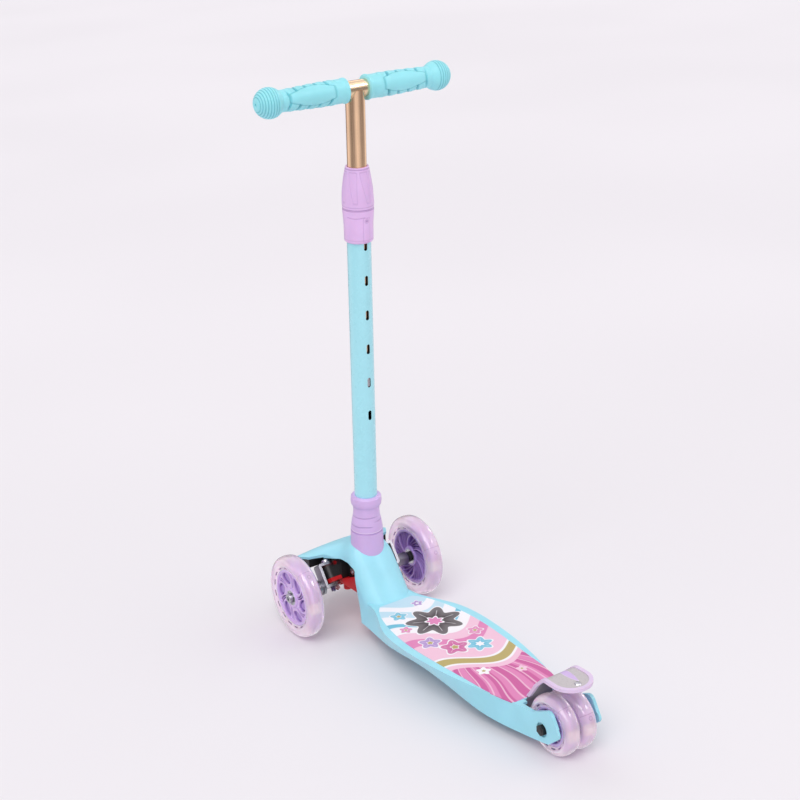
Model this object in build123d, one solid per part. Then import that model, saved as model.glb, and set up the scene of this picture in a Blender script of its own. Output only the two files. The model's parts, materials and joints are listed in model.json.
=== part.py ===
from build123d import *
import math
import os

# ---------------------------------------------------------------------------
# Lean-to-steer kick scooter for a small child: two large wheels in front, a
# twin wheel at the back, a fixed T-bar that slides for height.
# Units are millimetres. +Y is forward, +X is the rider's right, +Z is up.
# The origin is on the floor, under the middle of the scooter's length.
# ---------------------------------------------------------------------------

# Running gear
FRONT_WHEEL_R = 60.0
FRONT_WHEEL_W = 24.0
REAR_WHEEL_R = 40.0
REAR_WHEEL_W = 22.0
WHEELBASE = 466.0
TRACK_HALF = 102.0
REAR_WHEEL_GAP = 4.0

# Clearances
RUN_FIT = 0.05          # shaft in a bore
SLIDE_FIT = 0.10        # tube in a guide
FACE_GAP = 0.1          # flat faces that turn past each other
FREE_GAP = 0.3          # parts that only pass each other

# Deck moulding
DECK_Z = 56.0
SKIN = 3.5
WALL = 3.5
RIB = 2.4
RIB_X = 17.0
RIB_ROWS = 6
KEEL_Z = 16.0           # level where the lower outline of the hull is drawn
NECK_HALF = 36.0
DECK_FOOT_HALF = 37.0
DECK_SHOULDER_HALF = 60.0
DECK_WIDE_HALF = 68.5
DECK_TAPER_HALF = 52.5
DECK_HEEL_HALF = 43.0
FORK_HALF = 34.0
KEEL_FRONT_HALF = 45.0
KEEL_SHOULDER_HALF = 48.0
KEEL_WAIST_HALF = 40.0
KEEL_REAR_HALF = 46.0
KEEL_HEEL_HALF = 41.0

# Hood and wings over the front axle
RAMP_FOOT = 98.0        # behind the front axle
RAMP_SLOPE = 1.335
RAMP_HEAD = 50.0
RAMP_HALF = 36.5
CROWN_BACK = 30.0
CROWN_Z = 133.5
RIDGE_AHEAD = 36.0
RIDGE_Z = 105.8
WING_Z = 104.0
WING_TIP_X = 75.0
WING_DROOP = 5.5        # how far the wings' outer ends hang below their middle
WING_HEEL_X = 67.0
WING_HEEL_AHEAD = 21.0
NOSE_AHEAD = 57.0
NOSE_Z = 88.0
NOSE_EDGE_Z = 76.0
LIP_Z = 100.4
POST_HEAD = 50.0
POST_FOOT = 66.0
POST_FOOT_Z = 22.0

# Rear fork
FORK_END = 34.0         # behind the rear axle
FORK_TOP_Z = 74.0
CHEEK_T = 4.5
CHEEK_BOSS_R = 11.0
CHEEK_BOSS_T = 3.0
AXLE_RECESS_R = 9.5
AXLE_RECESS_T = 2.5
SKIN_REAR = 42.0        # ahead of the rear axle

# Grip mat
MAT_FOOT_HALF = 27.0
MAT_SHOULDER_HALF = 48.0
MAT_WIDE_HALF = 57.0
MAT_TAPER_HALF = 49.0
MAT_REAR_HALF = 38.0
MAT_T = 1.6
MAT_SINK = 1.3

# Kingpins and axle holders
KINGPIN_X = 46.0
KINGPIN_Z = 76.0
KINGPIN_BACK = 1.0
KINGPIN_TILT = 35.0
KINGPIN_R = 4.0
ARM_R = 9.0
ARM_T = 4.0
ARM_INNER = 14.0
LEG_INNER = 13.0
AXLE_R = 4.0
AXLE_BOSS_R = 9.5
WASHER_T = 7.4
STEER_ARM = 27.0
STEER_ARM_W = 9.0
TIE_PIN_R = 2.5
TIE_ROD_T = 3.0
TIE_ROD_W = 10.0

# Truck housing
HOUSING_BOSS_R = 8.5
BUSH_T = 2.0
CROSSBAR_HALF = 33.0
CROSSBAR_BACK = 12.0
CROSSBAR_FRONT = 18.0
HOUSING_TOP = 97.0
SOCKET_TOP = 120.0
BOSS_SPLIT = -6.0       # where the housing's bosses meet the cover's
LINER_HALF = 66.0       # tray under the wings, in front of the kingpins
LINER_BACK = 22.0       # ahead of the front axle
LINER_FRONT = 44.0
LINER_Z = 84.0
LINER_T = 2.5
SOCKET_R = 21.0
COVER_TOP = 69.0
COVER_BOTTOM = 50.0
COVER_HALF = 52.0
COVER_BACK = -8.0       # behind the front axle, so this is ahead of it
COVER_FRONT = 20.0
COVER_WEB = 17.0        # forward reach of the lower half bosses
COVER_NOTCH_X = 34.0    # a V cut from below in each arm of the cover
COVER_NOTCH_HALF = 10.0
COVER_NOTCH_Z = 59.0
TONGUE_HALF = 32.7
TONGUE_Z = 60.0
TONGUE_END = 84.0
CHEEK_WALL = 3.5        # the tongue's upright sides
CHEEK_TOP_Z = 86.0
PILLAR_R = 6.0
BUMPER_R = 3.4
BUMPER_OUT = 3.0
SCREW_R = 2.0
SCREW_HEAD_R = 3.6
SCREW_X = 23.0

# Stem
STEM_RAKE = 4.0
STEM_BACK = 29.6        # stem axis behind the front axle, at the seat
STEM_SEAT_Z = 72.0
LOWER_TUBE_R = 15.9
LOWER_TUBE_WALL = 1.9
LOWER_TUBE_FOOT = 3.0
LOWER_TUBE_LEN = 530.0
UPPER_TUBE_R = 12.7
UPPER_TUBE_WALL = 1.5
BAR_R = 11.1
BAR_WALL = 1.5
BAR_RISE = 701.7        # bar centre above the seat, along the stem
SLOT_COUNT = 6
SLOT_PITCH = 48.5
SLOT_FIRST = 256.2
SLOT_W = 5.0
SLOT_H = 14.0
BUTTON_SLOT = 1         # the slot that the button rests in, from the bottom
KEYWAY_DEPTH = 0.9
BUTTON_W = 4.6
BUTTON_H = 12.6
BUSH_LEN = 24.0
TUBE_TAIL = 34.0        # upper tube below the button

# Stem base collar
COLLAR_FOOT_R = 23.6
COLLAR_WAIST_R = 18.5
COLLAR_BEAD_R = 21.8
COLLAR_GROOVE_RISE = 76.0
COLLAR_WAIST_RISE = 106.0
COLLAR_TOP_RISE = 130.0

# Twist lock
LOCK_LAP = 28.0         # lock body below the lower tube's top
LOCK_BODY_LEN = 45.3
LOCK_NUT_LEN = 55.2
LOCK_NECK_LEN = 24.0
COLLET_SHOULDER = 38.0
COLLET_TIP = 9.0        # collet's end below the nut's top
LOCK_FOOT_R = 18.0
LOCK_SPLIT_R = 20.8
LOCK_TOP_R = 15.4
LOCK_NECK_R = 17.6
LOCK_FLUTES = 8

# Bar ends
GRIP_END = 125.0
GRIP_BALL_R = 19.5
GRIP_FLANGE_R = 16.4
GRIP_R = 15.2
GRIP_NECK_R = 13.3
GRIP_START = 15.5
GRIP_WAVES = 5

# Wheels
FRONT_HUB_R = 41.0
REAR_HUB_R = 26.0
HUB_RIM_T = 3.6
FLANGE_RISE = 4.6
FLANGE_W = 3.0
BEARING_R = 11.0
BEARING_W = 7.0
HUB_BOSS_R = 14.5
HUB_BOSS_W = 20.0
WEB_T = 2.6
BLADE_T = 2.0
LIGHT_LONG = 14.0
LIGHT_TALL = 5.0
LIGHT_WIDE = 12.0

# Brake fender
FENDER_PIN_AHEAD = 51.0     # ahead of the rear axle
FENDER_PIN_Z = 44.0
FENDER_PIN_R = 2.0
FENDER_T = 2.0
FENDER_FOOT_HALF = 20.0
FENDER_PAD_HALF = 26.0
FENDER_PAD_Z = 104.0
FENDER_END = 42.0           # behind the rear axle
FENDER_BEND = 5.0           # ahead of the rear axle
TRIM_W = 4.0
TRIM_T = 1.1
TRIM_LIP = 1.2
SPRING_HALF = 7.0

# Derived places
LENGTH = FRONT_WHEEL_R + WHEELBASE + FENDER_END + TRIM_LIP
FRONT_Y = LENGTH / 2 - FRONT_WHEEL_R
REAR_Y = FRONT_Y - WHEELBASE
FORK_IN = FORK_HALF - CHEEK_T
AXLE_BOSS_END = TRACK_HALF - HUB_BOSS_W / 2 - WASHER_T - FACE_GAP
LOCK_FOOT_RISE = LOWER_TUBE_LEN - LOCK_LAP
LOCK_SPLIT_RISE = LOCK_FOOT_RISE + LOCK_BODY_LEN
LOCK_TOP_RISE = LOCK_SPLIT_RISE + LOCK_NUT_LEN


def behind(distance):
    """Y of a point that lies this far behind the front axle."""
    return FRONT_Y - distance


def ahead(distance):
    """Y of a point that lies this far ahead of the rear axle."""
    return REAR_Y + distance


def lathe(profile):
    """Revolve a closed outline of (radius, height) points about Z."""
    return revolve(Plane.XZ * make_face(Polyline(*profile, close=True)), Axis.Z)


def across(shape, x, y, z):
    """Lay a shape built about Z along X, with its origin at the point."""
    return Pos(x, y, z) * Rot(0, 90, 0) * shape


def ring(outer, inner, low, high):
    """A plain sleeve about Z."""
    return lathe([(inner, low), (outer, low), (outer, high), (inner, high)])


def disc(radius, low, high):
    """A cylinder about Z between two levels."""
    return Pos(0, 0, low) * Cylinder(radius, high - low, align=(Align.CENTER, Align.CENTER, Align.MIN))


def block(x0, x1, y0, y1, z0, z1):
    """A box between two corners."""
    return Pos((x0 + x1) / 2, (y0 + y1) / 2, (z0 + z1) / 2) * Box(abs(x1 - x0), abs(y1 - y0), abs(z1 - z0))


def other_side(shape):
    """The same piece on the rider's left."""
    return mirror(shape, Plane.YZ)


def solid_of(shape):
    """The single solid of a boolean's result."""
    solids = shape.solids()
    return max(solids, key=lambda s: s.volume)


# ---------------------------------------------------------------------------
# Deck shell: one moulding with the hood, wings, neck and rear fork
# ---------------------------------------------------------------------------

def half_outline(half_points, front_line, rear_line, inset):
    """A closed plan outline from one spline side, mirrored, drawn in toward the middle by inset."""
    side = [(x - inset, y) for x, y in half_points]
    right = Spline(*side, tangents=[(0, -1), (0, -1)])
    left = mirror(right, Plane.YZ)
    front = Line((-side[0][0], front_line), (side[0][0], front_line))
    back = Line((-side[-1][0], rear_line), (side[-1][0], rear_line))
    return make_face([right, left, front, back])


def deck_outline(inset=0.0, front=RAMP_HEAD):
    """Plan of the hull at deck level, from the neck to the fork's ends."""
    points = [
        (NECK_HALF, behind(front)),
        (DECK_FOOT_HALF, behind(RAMP_FOOT)),
        (DECK_SHOULDER_HALF, behind(154)),
        (DECK_WIDE_HALF, behind(228)),
        (DECK_TAPER_HALF, ahead(113)),
        (DECK_HEEL_HALF, ahead(75)),
        (FORK_HALF + 1.0, ahead(28)),
        (FORK_HALF, ahead(-4)),
        (FORK_HALF, ahead(-FORK_END - 6)),
    ]
    return half_outline(points, points[0][1], points[-1][1], inset)


def keel_outline(inset=0.0, front=RAMP_HEAD):
    """Plan of the hull at keel level."""
    points = [
        (KEEL_FRONT_HALF - 7, behind(front)),
        (KEEL_FRONT_HALF, behind(RAMP_FOOT + 6)),
        (KEEL_SHOULDER_HALF, behind(150)),
        (KEEL_WAIST_HALF, behind(232)),
        (KEEL_REAR_HALF, ahead(113)),
        (KEEL_HEEL_HALF, ahead(75)),
        (FORK_HALF + 1, ahead(28)),
        (FORK_HALF, ahead(-4)),
        (FORK_HALF, ahead(-FORK_END - 6)),
    ]
    return half_outline(points, points[0][1], points[-1][1], inset)


def hull_prism(inset, front, top_drop=0.0):
    """The hull below deck level, before its underside is trimmed."""
    low = Pos(0, 0, KEEL_Z - 4) * keel_outline(inset, front)
    high = Pos(0, 0, DECK_Z) * deck_outline(inset, front)
    body = loft([low, high], ruled=True)
    return body - block(-200, 200, -400, 400, DECK_Z - top_drop, DECK_Z + 9) if top_drop else body


def side_view(face):
    """Carry a (forward, up) outline through the whole width."""
    return extrude(Plane.YZ * face, amount=120, both=True)


def arch(back, top, half, edge, foot=0.0):
    """Upright cross section of the hood: a bow between two upright sides."""
    outline = [
        Line((-half, foot), (half, foot)),
        Line((half, foot), (half, edge)),
        ThreePointArc((half, edge), (0, top), (-half, edge)),
        Line((-half, edge), (-half, foot)),
    ]
    return Plane(origin=(0, behind(back), 0), x_dir=(1, 0, 0), z_dir=(0, -1, 0)) * make_face(outline)


def ramp_z(back):
    """Height of the ramp's middle line."""
    return DECK_Z + (RAMP_FOOT - back) * RAMP_SLOPE


def hood_solid(inner=False):
    """Everything under the hood's skin and the ramp, or the hollow inside them."""
    skin, wall = (SKIN, WALL) if inner else (0.0, 0.0)
    steep = skin * math.sqrt(1 + RAMP_SLOPE ** 2)
    bow = RAMP_HALF - wall
    foot = RAMP_FOOT + 14 - (SKIN * 1.2 if inner else 0)
    ramp = loft([
        arch(foot, ramp_z(foot) - steep, bow, ramp_z(foot) - RAMP_HALF, -60),
        arch(RAMP_HEAD, ramp_z(RAMP_HEAD) - steep, bow, ramp_z(RAMP_HEAD) - RAMP_HALF, -60),
    ], ruled=True)
    # Behind the front axle, top of the bow, half width, where the bow starts
    stations = [
        (RAMP_HEAD, ramp_z(RAMP_HEAD) - steep, bow, ramp_z(RAMP_HEAD) - RAMP_HALF),
        (CROWN_BACK + 12, CROWN_Z - 4.5 - skin * 1.3, bow, CROWN_Z - 4.5 - RAMP_HALF),
        (CROWN_BACK, CROWN_Z - skin, bow, CROWN_Z - RAMP_HALF + 0.5),
        (CROWN_BACK - 14, CROWN_Z - 4.5 - skin, RAMP_HALF + 1 - wall, WING_Z - 3 - skin * 0.3),
        (4, CROWN_Z - 11 - skin, RAMP_HALF + 4.5 - wall, WING_Z - 1 - skin * 0.6),
        (-8, CROWN_Z - 16.5 - skin, RAMP_HALF + 13 - wall * 0.5, WING_Z - skin),
        (-WING_HEEL_AHEAD, WING_Z + 8 - skin, WING_HEEL_X + 3, WING_Z - WING_DROOP * 0.7 - skin),
        (-RIDGE_AHEAD, RIDGE_Z - skin, WING_TIP_X + 2, RIDGE_Z - 1 - WING_DROOP - skin),
        (-NOSE_AHEAD + 9, NOSE_Z + 9.5 - skin * 1.2, WING_TIP_X - 1, NOSE_Z + 9 - WING_DROOP - skin * 1.2),
        (-NOSE_AHEAD + (SKIN if inner else 0), NOSE_Z - 1 - skin * 1.2, WING_TIP_X - 8,
         NOSE_Z - 1.5 - WING_DROOP * 0.8 - skin * 1.2),
    ]
    crown = loft([arch(*station, foot=-60) for station in stations])
    return ramp + crown


def lip_line():
    """Side view of all that is kept of the moulding: the wings' lower lip, the post and the belly."""
    lip = FilletPolyline(
        (behind(-NOSE_AHEAD - 8), NOSE_EDGE_Z),
        (behind(-NOSE_AHEAD + 8), NOSE_EDGE_Z),
        (behind(-RIDGE_AHEAD - 2), LIP_Z - WING_DROOP),
        (behind(4), LIP_Z),
        (behind(18), LIP_Z + 3),
        (behind(36), LIP_Z + 3.4),
        (behind(POST_HEAD), LIP_Z - 3.4),
        (behind(POST_FOOT), POST_FOOT_Z),
        radius=[3, 6, 10, 10, 12, 8],
    )
    belly = Spline(
        (behind(POST_FOOT), POST_FOOT_Z), (behind(150), 28), (behind(235), 34), (ahead(136), 23),
        (ahead(81), 16.5), (ahead(26), 18.5), (ahead(-12), 25),
    )
    cheek = FilletPolyline(
        (ahead(-12), 25),
        (ahead(-FORK_END), 43),
        (ahead(-17), FORK_TOP_Z),
        (ahead(18), 57.0),
        (ahead(SKIN_REAR), DECK_Z),
        radius=[7, 9, 12],
    )
    close = Polyline((ahead(SKIN_REAR), DECK_Z), (ahead(SKIN_REAR), CROWN_Z + 12),
                     (behind(-NOSE_AHEAD - 8), CROWN_Z + 12), (behind(-NOSE_AHEAD - 8), NOSE_EDGE_Z))
    return make_face([lip, belly, cheek, close])


def hood_outline():
    """Plan of the hood: a neck that spreads forward into two swept wings."""
    right = [
        (DECK_SHOULDER_HALF + 30, behind(RAMP_FOOT + 20), 1.0),
        (DECK_SHOULDER_HALF + 30, behind(POST_HEAD - 4), 1.0),
        (RAMP_HALF + 0.1, behind(POST_HEAD - 6), 1.0),
        (RAMP_HALF + 0.1, behind(14), 16.0),
        (RAMP_HALF + 11, behind(-8), 14.0),
        (WING_HEEL_X, behind(-WING_HEEL_AHEAD), 4.0),
        (WING_TIP_X, behind(-RIDGE_AHEAD + 2), 9.0),
        (WING_TIP_X - 4, behind(-NOSE_AHEAD + 8), 12.0),
        (WING_TIP_X - 24, behind(-NOSE_AHEAD - 1), 12.0),
    ]
    points = [(x, y) for x, y, _ in right] + [(-x, y) for x, y, _ in reversed(right)]
    radii = [r for _, _, r in right] + [r for _, _, r in reversed(right)]
    return make_face(FilletPolyline(*points, radius=radii, close=True))


def fork_window():
    """The open space between the cheeks, for the wheels."""
    return block(-FORK_IN, FORK_IN, ahead(-FORK_END - 8), ahead(SKIN_REAR), 0, 100)


def stem_place(rise=0.0):
    """Frame on the stem axis, this far above the seat, with Z up the stem."""
    return Pos(0, behind(STEM_BACK), STEM_SEAT_Z) * Rot(STEM_RAKE, 0, 0) * Pos(0, 0, rise)


def screw_places():
    """Plan positions of the four screws that hold the truck."""
    for back in (-11.0, 9.0):
        for x in (-SCREW_X, SCREW_X):
            yield x, behind(back)


def make_deck_shell():
    front = RAMP_HEAD - 6
    hull = hull_prism(0, front) + extrude(Pos(0, 0, DECK_Z) * deck_outline(0.0, front), amount=FORK_TOP_Z - DECK_Z + 4)
    hull = hull - block(-200, 200, ahead(SKIN_REAR), behind(-100), DECK_Z, 200)
    plan = extrude(Pos(0, 0, -5) * hood_outline(), amount=CROWN_Z + 20)
    hood = hood_solid() & plan
    hollow = hood_solid(inner=True)
    outer = hull + hood
    shell = outer - hull_prism(WALL, RAMP_HEAD - 30, SKIN) - hollow - fork_window()
    shell = shell & side_view(lip_line())
    # Ribs under the deck: two long ones and a row across
    bed = hull_prism(0.5, RAMP_HEAD, SKIN - 0.5)
    belly_trim = side_view(make_face(Polyline(
        (behind(100), 30), (behind(150), 34), (behind(235), 40), (ahead(136), 29), (ahead(90), 24),
        (ahead(SKIN_REAR), 24), (ahead(SKIN_REAR), 80), (behind(100), 80), close=True)))
    ribs = [block(s * RIB_X - RIB / 2, s * RIB_X + RIB / 2, ahead(SKIN_REAR), behind(100), 0, DECK_Z) for s in (-1, 1)]
    span = behind(100) - ahead(SKIN_REAR)
    for i in range(1, RIB_ROWS + 1):
        y = ahead(SKIN_REAR) + 12 + (span - 24) * i / (RIB_ROWS + 1)
        ribs.append(block(-90, 90, y - RIB / 2, y + RIB / 2, 0, DECK_Z))
    grid = ribs[0]
    for rib in ribs[1:]:
        grid = grid + rib
    shell = shell + (grid & bed & belly_trim)
    # Posts that hold the truck housing, and lugs for the brake's pin
    for x, y in screw_places():
        post = Pos(x, y, HOUSING_TOP) * disc(5.0, 0, 50) & (Pos(0, 0, 0.5) * hollow)
        shell = shell + post
        shell = shell - Pos(x, y, 0) * disc(SCREW_R, HOUSING_TOP - 1, HOUSING_TOP + 9)
    for s in (-1, 1):
        lug = block(s * 24, s * 28, ahead(FENDER_PIN_AHEAD - 6), ahead(FENDER_PIN_AHEAD + 6), FENDER_PIN_Z - 6, DECK_Z - 1)
        shell = shell + lug
        boss = across(disc(CHEEK_BOSS_R, 0, CHEEK_BOSS_T + 0.5), FORK_IN - CHEEK_BOSS_T, REAR_Y, REAR_WHEEL_R)
        shell = shell + (boss if s > 0 else other_side(boss))
    shell = shell - across(disc(FENDER_PIN_R, -28, 28), 0, ahead(FENDER_PIN_AHEAD), FENDER_PIN_Z)
    # The brake comes up through a slot in the rear edge
    side = FENDER_FOOT_HALF + 2.5
    shell = shell - block(-side, side, ahead(SKIN_REAR) - 5, ahead(FENDER_PIN_AHEAD - 3), FENDER_PIN_Z - 9, DECK_Z + 5)
    shell = shell - block(-side, side, ahead(SKIN_REAR) - 5, ahead(FENDER_PIN_AHEAD + 7), 0, DECK_Z - SKIN)
    # Axle holes and their outer recesses
    shell = shell - across(disc(AXLE_R, -50, 50), 0, REAR_Y, REAR_WHEEL_R)
    recess = across(disc(AXLE_RECESS_R, 0, 10), FORK_HALF - AXLE_RECESS_T, REAR_Y, REAR_WHEEL_R)
    shell = shell - recess - other_side(recess)
    # Stem hole, and the shallow bed of the grip mat
    shell = shell - stem_place() * disc(LOWER_TUBE_R, -10, 80)
    shell = shell - Pos(0, 0, DECK_Z - MAT_SINK) * extrude(mat_outline(), amount=5)
    return solid_of(shell)


def mat_outline():
    """Plan of the grip mat: a smaller copy of the deck's outline, square at the rear edge."""
    side = [(MAT_FOOT_HALF, behind(RAMP_FOOT + 1)), (MAT_SHOULDER_HALF, behind(145)), (MAT_WIDE_HALF, behind(225)),
            (MAT_TAPER_HALF, ahead(120)), (MAT_REAR_HALF, ahead(FENDER_PIN_AHEAD - 1))]
    right = Spline(*side, tangents=[(0.9, -1), (-0.25, -1)])
    left = mirror(right, Plane.YZ)
    front = Line((-side[0][0], side[0][1]), side[0])
    back = Line((-side[-1][0], side[-1][1]), side[-1])
    face = make_face([right, left, front, back])
    return fillet(face.vertices(), radius=6)


def make_deck_mat():
    return extrude(Pos(0, 0, DECK_Z - MAT_SINK) * mat_outline(), amount=MAT_T)


# ---------------------------------------------------------------------------
# Truck: kingpins, housing and the two axle holders
# ---------------------------------------------------------------------------

def kingpin_place(side=1):
    """Frame at the middle of a kingpin, with Z up along it."""
    return Pos(side * KINGPIN_X, behind(KINGPIN_BACK), KINGPIN_Z) * Rot(-KINGPIN_TILT, 0, 0)


def make_upper_housing():
    crossbar = block(-CROSSBAR_HALF, CROSSBAR_HALF, behind(CROSSBAR_BACK), behind(-CROSSBAR_FRONT),
                     COVER_TOP, HOUSING_TOP)
    crossbar = fillet(crossbar.edges().filter_by(Axis.X).group_by(Axis.Z)[-1], 6)
    socket = block(-SOCKET_R - 1, SOCKET_R + 1, behind(STEM_BACK + 17), behind(CROSSBAR_BACK - 1), COVER_TOP, HOUSING_TOP)
    hollow = Pos(0, 0, -FREE_GAP) * hood_solid(inner=True)
    barrel = stem_place() * disc(SOCKET_R, 4, SOCKET_TOP - STEM_SEAT_Z)
    body = crossbar + socket + (barrel & hollow)
    half = ARM_INNER - BUSH_T
    for side in (-1, 1):
        boss = disc(HOUSING_BOSS_R, BOSS_SPLIT, half)
        neck = block(0, -side * (KINGPIN_X - CROSSBAR_HALF + 1), -HOUSING_BOSS_R, HOUSING_BOSS_R, BOSS_SPLIT, half - 2)
        body = body + kingpin_place(side) * (boss + neck)
    bridge = block(-CROSSBAR_HALF, CROSSBAR_HALF, behind(-CROSSBAR_FRONT + 8), behind(-LINER_BACK - 2), LINER_Z, HOUSING_TOP)
    liner = block(-LINER_HALF, LINER_HALF, behind(-LINER_BACK), behind(-LINER_FRONT), LINER_Z, CROWN_Z)
    room = block(-LINER_HALF + LINER_T, LINER_HALF - LINER_T, behind(-LINER_BACK - LINER_T),
                 behind(-LINER_FRONT + LINER_T), LINER_Z + LINER_T, CROWN_Z)
    body = body + bridge + ((liner - room) & hollow)
    for side in (-1, 1):
        body = body - kingpin_place(side) * disc(KINGPIN_R, -40, 40)
        pocket = bumper(side)
        body = body - pocket
    for x, y in screw_places():
        body = body - Pos(x, y, 0) * disc(SCREW_R, 0, 200)
    body = body - stem_place() * disc(LOWER_TUBE_R, LOWER_TUBE_FOOT, 80)
    body = body - stem_bolt_hole()
    return solid_of(body)


def stem_bolt_hole():
    """Cross bolt through the socket and the foot of the stem."""
    return across(disc(3.0, -60, 60), 0, behind(STEM_BACK) - 0.9, 85)


def bumper(side):
    """A rubber stop let into the end of the crossbar."""
    piece = across(disc(BUMPER_R, -5, BUMPER_OUT), CROSSBAR_HALF, behind(-4), 89)
    return piece if side > 0 else other_side(piece)


def cover_notch(side):
    """The V cut from below out of one arm of the cover."""
    face = Polyline(
        (side * COVER_NOTCH_X - COVER_NOTCH_HALF, COVER_BOTTOM - 0.5), (side * COVER_NOTCH_X, COVER_NOTCH_Z),
        (side * COVER_NOTCH_X + COVER_NOTCH_HALF, COVER_BOTTOM - 0.5), close=True)
    return extrude(Plane.XZ * make_face(face), amount=400, both=True)


def cover_tongue():
    """The tray that runs back under the stem's foot, with two upright sides."""
    tray = block(-TONGUE_HALF, TONGUE_HALF, behind(COVER_BACK - 2), behind(TONGUE_END), TONGUE_Z, COVER_TOP)
    tray = fillet(tray.faces().sort_by(Axis.Z)[0].edges(), 2.5)
    profile = make_face(Polyline(
        (behind(8), TONGUE_Z + 4), (behind(TONGUE_END), TONGUE_Z + 4), (behind(TONGUE_END), CHEEK_TOP_Z),
        (behind(RAMP_HEAD), CHEEK_TOP_Z), (behind(12), COVER_TOP), close=True))
    wall = extrude(Plane.YZ * profile, amount=CHEEK_WALL)
    tray = tray + Pos(TONGUE_HALF - CHEEK_WALL, 0, 0) * wall + Pos(-TONGUE_HALF, 0, 0) * wall
    # Room for the housing's necks
    for side in (-1, 1):
        inner = -side * (KINGPIN_X - CROSSBAR_HALF + 1 + FREE_GAP)
        reach = HOUSING_BOSS_R + FREE_GAP
        tray = tray - kingpin_place(side) * block(inner, side * 6, -reach, reach, BOSS_SPLIT, ARM_INNER)
    return tray & (Pos(0, 0, -FREE_GAP) * hood_solid(inner=True))


def make_lower_cover():
    bar = block(-COVER_HALF, COVER_HALF, behind(COVER_BACK), behind(-COVER_FRONT), COVER_BOTTOM, COVER_TOP)
    bar = fillet(bar.edges().filter_by(Axis.Z), 4)
    bar = fillet(bar.faces().sort_by(Axis.Z)[0].edges(), 2.5)
    body = bar - cover_notch(1) - cover_notch(-1) + cover_tongue()
    for x, y in screw_places():
        body = body + Pos(x, y, 0) * disc(PILLAR_R, COVER_BOTTOM, COVER_TOP)
    half = ARM_INNER - BUSH_T
    for side in (-1, 1):
        boss = disc(HOUSING_BOSS_R, -half, BOSS_SPLIT)
        web = block(-side * (KINGPIN_X - CROSSBAR_HALF - 1), side * 6, -HOUSING_BOSS_R, COVER_WEB, -half + 1, BOSS_SPLIT)
        lower = kingpin_place(side) * (boss + web - disc(KINGPIN_R, -40, 40))
        body = body + lower
    for x, y in screw_places():
        body = body - Pos(x, y, 0) * disc(SCREW_R, 0, 200)
        body = body - Pos(x, y, 0) * disc(SCREW_HEAD_R, 0, COVER_BOTTOM + 3)
    return solid_of(body)


def make_truck_screws():
    parts = []
    for x, y in screw_places():
        screw = disc(SCREW_R, COVER_BOTTOM + 3, HOUSING_TOP + 8) + disc(SCREW_HEAD_R - 0.2, COVER_BOTTOM + 0.4, COVER_BOTTOM + 3)
        parts.append(Pos(x, y, 0) * screw)
    return parts


def make_kingpin():
    """Cap screw, head up, seen on the bracket's upper arm."""
    top = ARM_INNER + ARM_T + FACE_GAP
    pin = disc(KINGPIN_R, -top - 7, top) + disc(6.5, top, top + 4.5)
    head = fillet(pin.faces().sort_by(Axis.Z)[-1].edges(), 1.2)
    return head - Pos(0, 0, top + 2) * extrude(RegularPolygon(3.4, 6), amount=4)


def make_kingpin_nut():
    top = ARM_INNER + ARM_T + FACE_GAP
    nut = Pos(0, 0, -top - 6) * extrude(RegularPolygon(7.4, 6), amount=6)
    return nut - disc(KINGPIN_R, -60, 60)


def make_kingpin_bushes():
    half = ARM_INNER - BUSH_T
    parts = []
    for low, high in ((half, ARM_INNER - FACE_GAP), (-ARM_INNER + FACE_GAP, -half)):
        parts.append(ring(HOUSING_BOSS_R + 0.8, KINGPIN_R, low, high))
    return parts


def make_knuckle():
    """C-shaped axle holder: two arms on the kingpin, a leg, an axle boss and a steering arm."""
    reach = LEG_INNER + ARM_T
    outline = make_face(Polyline((0, -ARM_R), (reach, -ARM_R), (reach, ARM_R), (0, ARM_R), close=True))
    arm = extrude(outline + Circle(ARM_R), amount=ARM_T)
    steer = extrude(Pos(0, STEER_ARM / 2) * Rectangle(STEER_ARM_W, STEER_ARM) + Pos(0, STEER_ARM) * Circle(
        STEER_ARM_W / 2), amount=ARM_T)
    body = Pos(0, 0, ARM_INNER) * (arm + steer) + Pos(0, 0, -ARM_INNER - ARM_T) * arm
    body = body + block(LEG_INNER, reach, -ARM_R, ARM_R, -ARM_INNER - ARM_T, ARM_INNER + ARM_T)
    body = fillet(body.edges().filter_by(Axis.Y).sort_by(Axis.X)[-2:], 3)
    body = body - disc(KINGPIN_R + RUN_FIT, -60, 60)
    pin_low = ARM_INNER - 1 - TIE_ROD_T - 1.5
    body = body + Pos(0, STEER_ARM, 0) * disc(TIE_PIN_R, pin_low, ARM_INNER + 1)
    body = kingpin_place() * body
    boss = across(disc(AXLE_BOSS_R, 0, AXLE_BOSS_END - KINGPIN_X - LEG_INNER), KINGPIN_X + LEG_INNER, FRONT_Y,
                  FRONT_WHEEL_R)
    pad = across(disc(AXLE_BOSS_R + 2, 0, ARM_T), KINGPIN_X + LEG_INNER, FRONT_Y, FRONT_WHEEL_R)
    body = body + boss + pad
    return solid_of(body - across(disc(AXLE_R, 0, 60), KINGPIN_X + LEG_INNER - 5, FRONT_Y, FRONT_WHEEL_R))


def make_tie_rod():
    """Flat bar from one steering arm's pin to the other, under the arms."""
    top = ARM_INNER - 1
    bar = Rectangle(2 * KINGPIN_X, TIE_ROD_W) + Pos(-KINGPIN_X, 0) * Circle(TIE_ROD_W / 2) + Pos(
        KINGPIN_X, 0) * Circle(TIE_ROD_W / 2)
    holes = Pos(-KINGPIN_X, 0) * Circle(TIE_PIN_R + RUN_FIT) + Pos(KINGPIN_X, 0) * Circle(TIE_PIN_R + FREE_GAP)
    flat = extrude(bar - holes, amount=TIE_ROD_T)
    return Pos(0, behind(KINGPIN_BACK), KINGPIN_Z) * Rot(-KINGPIN_TILT, 0, 0) * Pos(
        0, STEER_ARM, top - TIE_ROD_T) * flat


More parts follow.
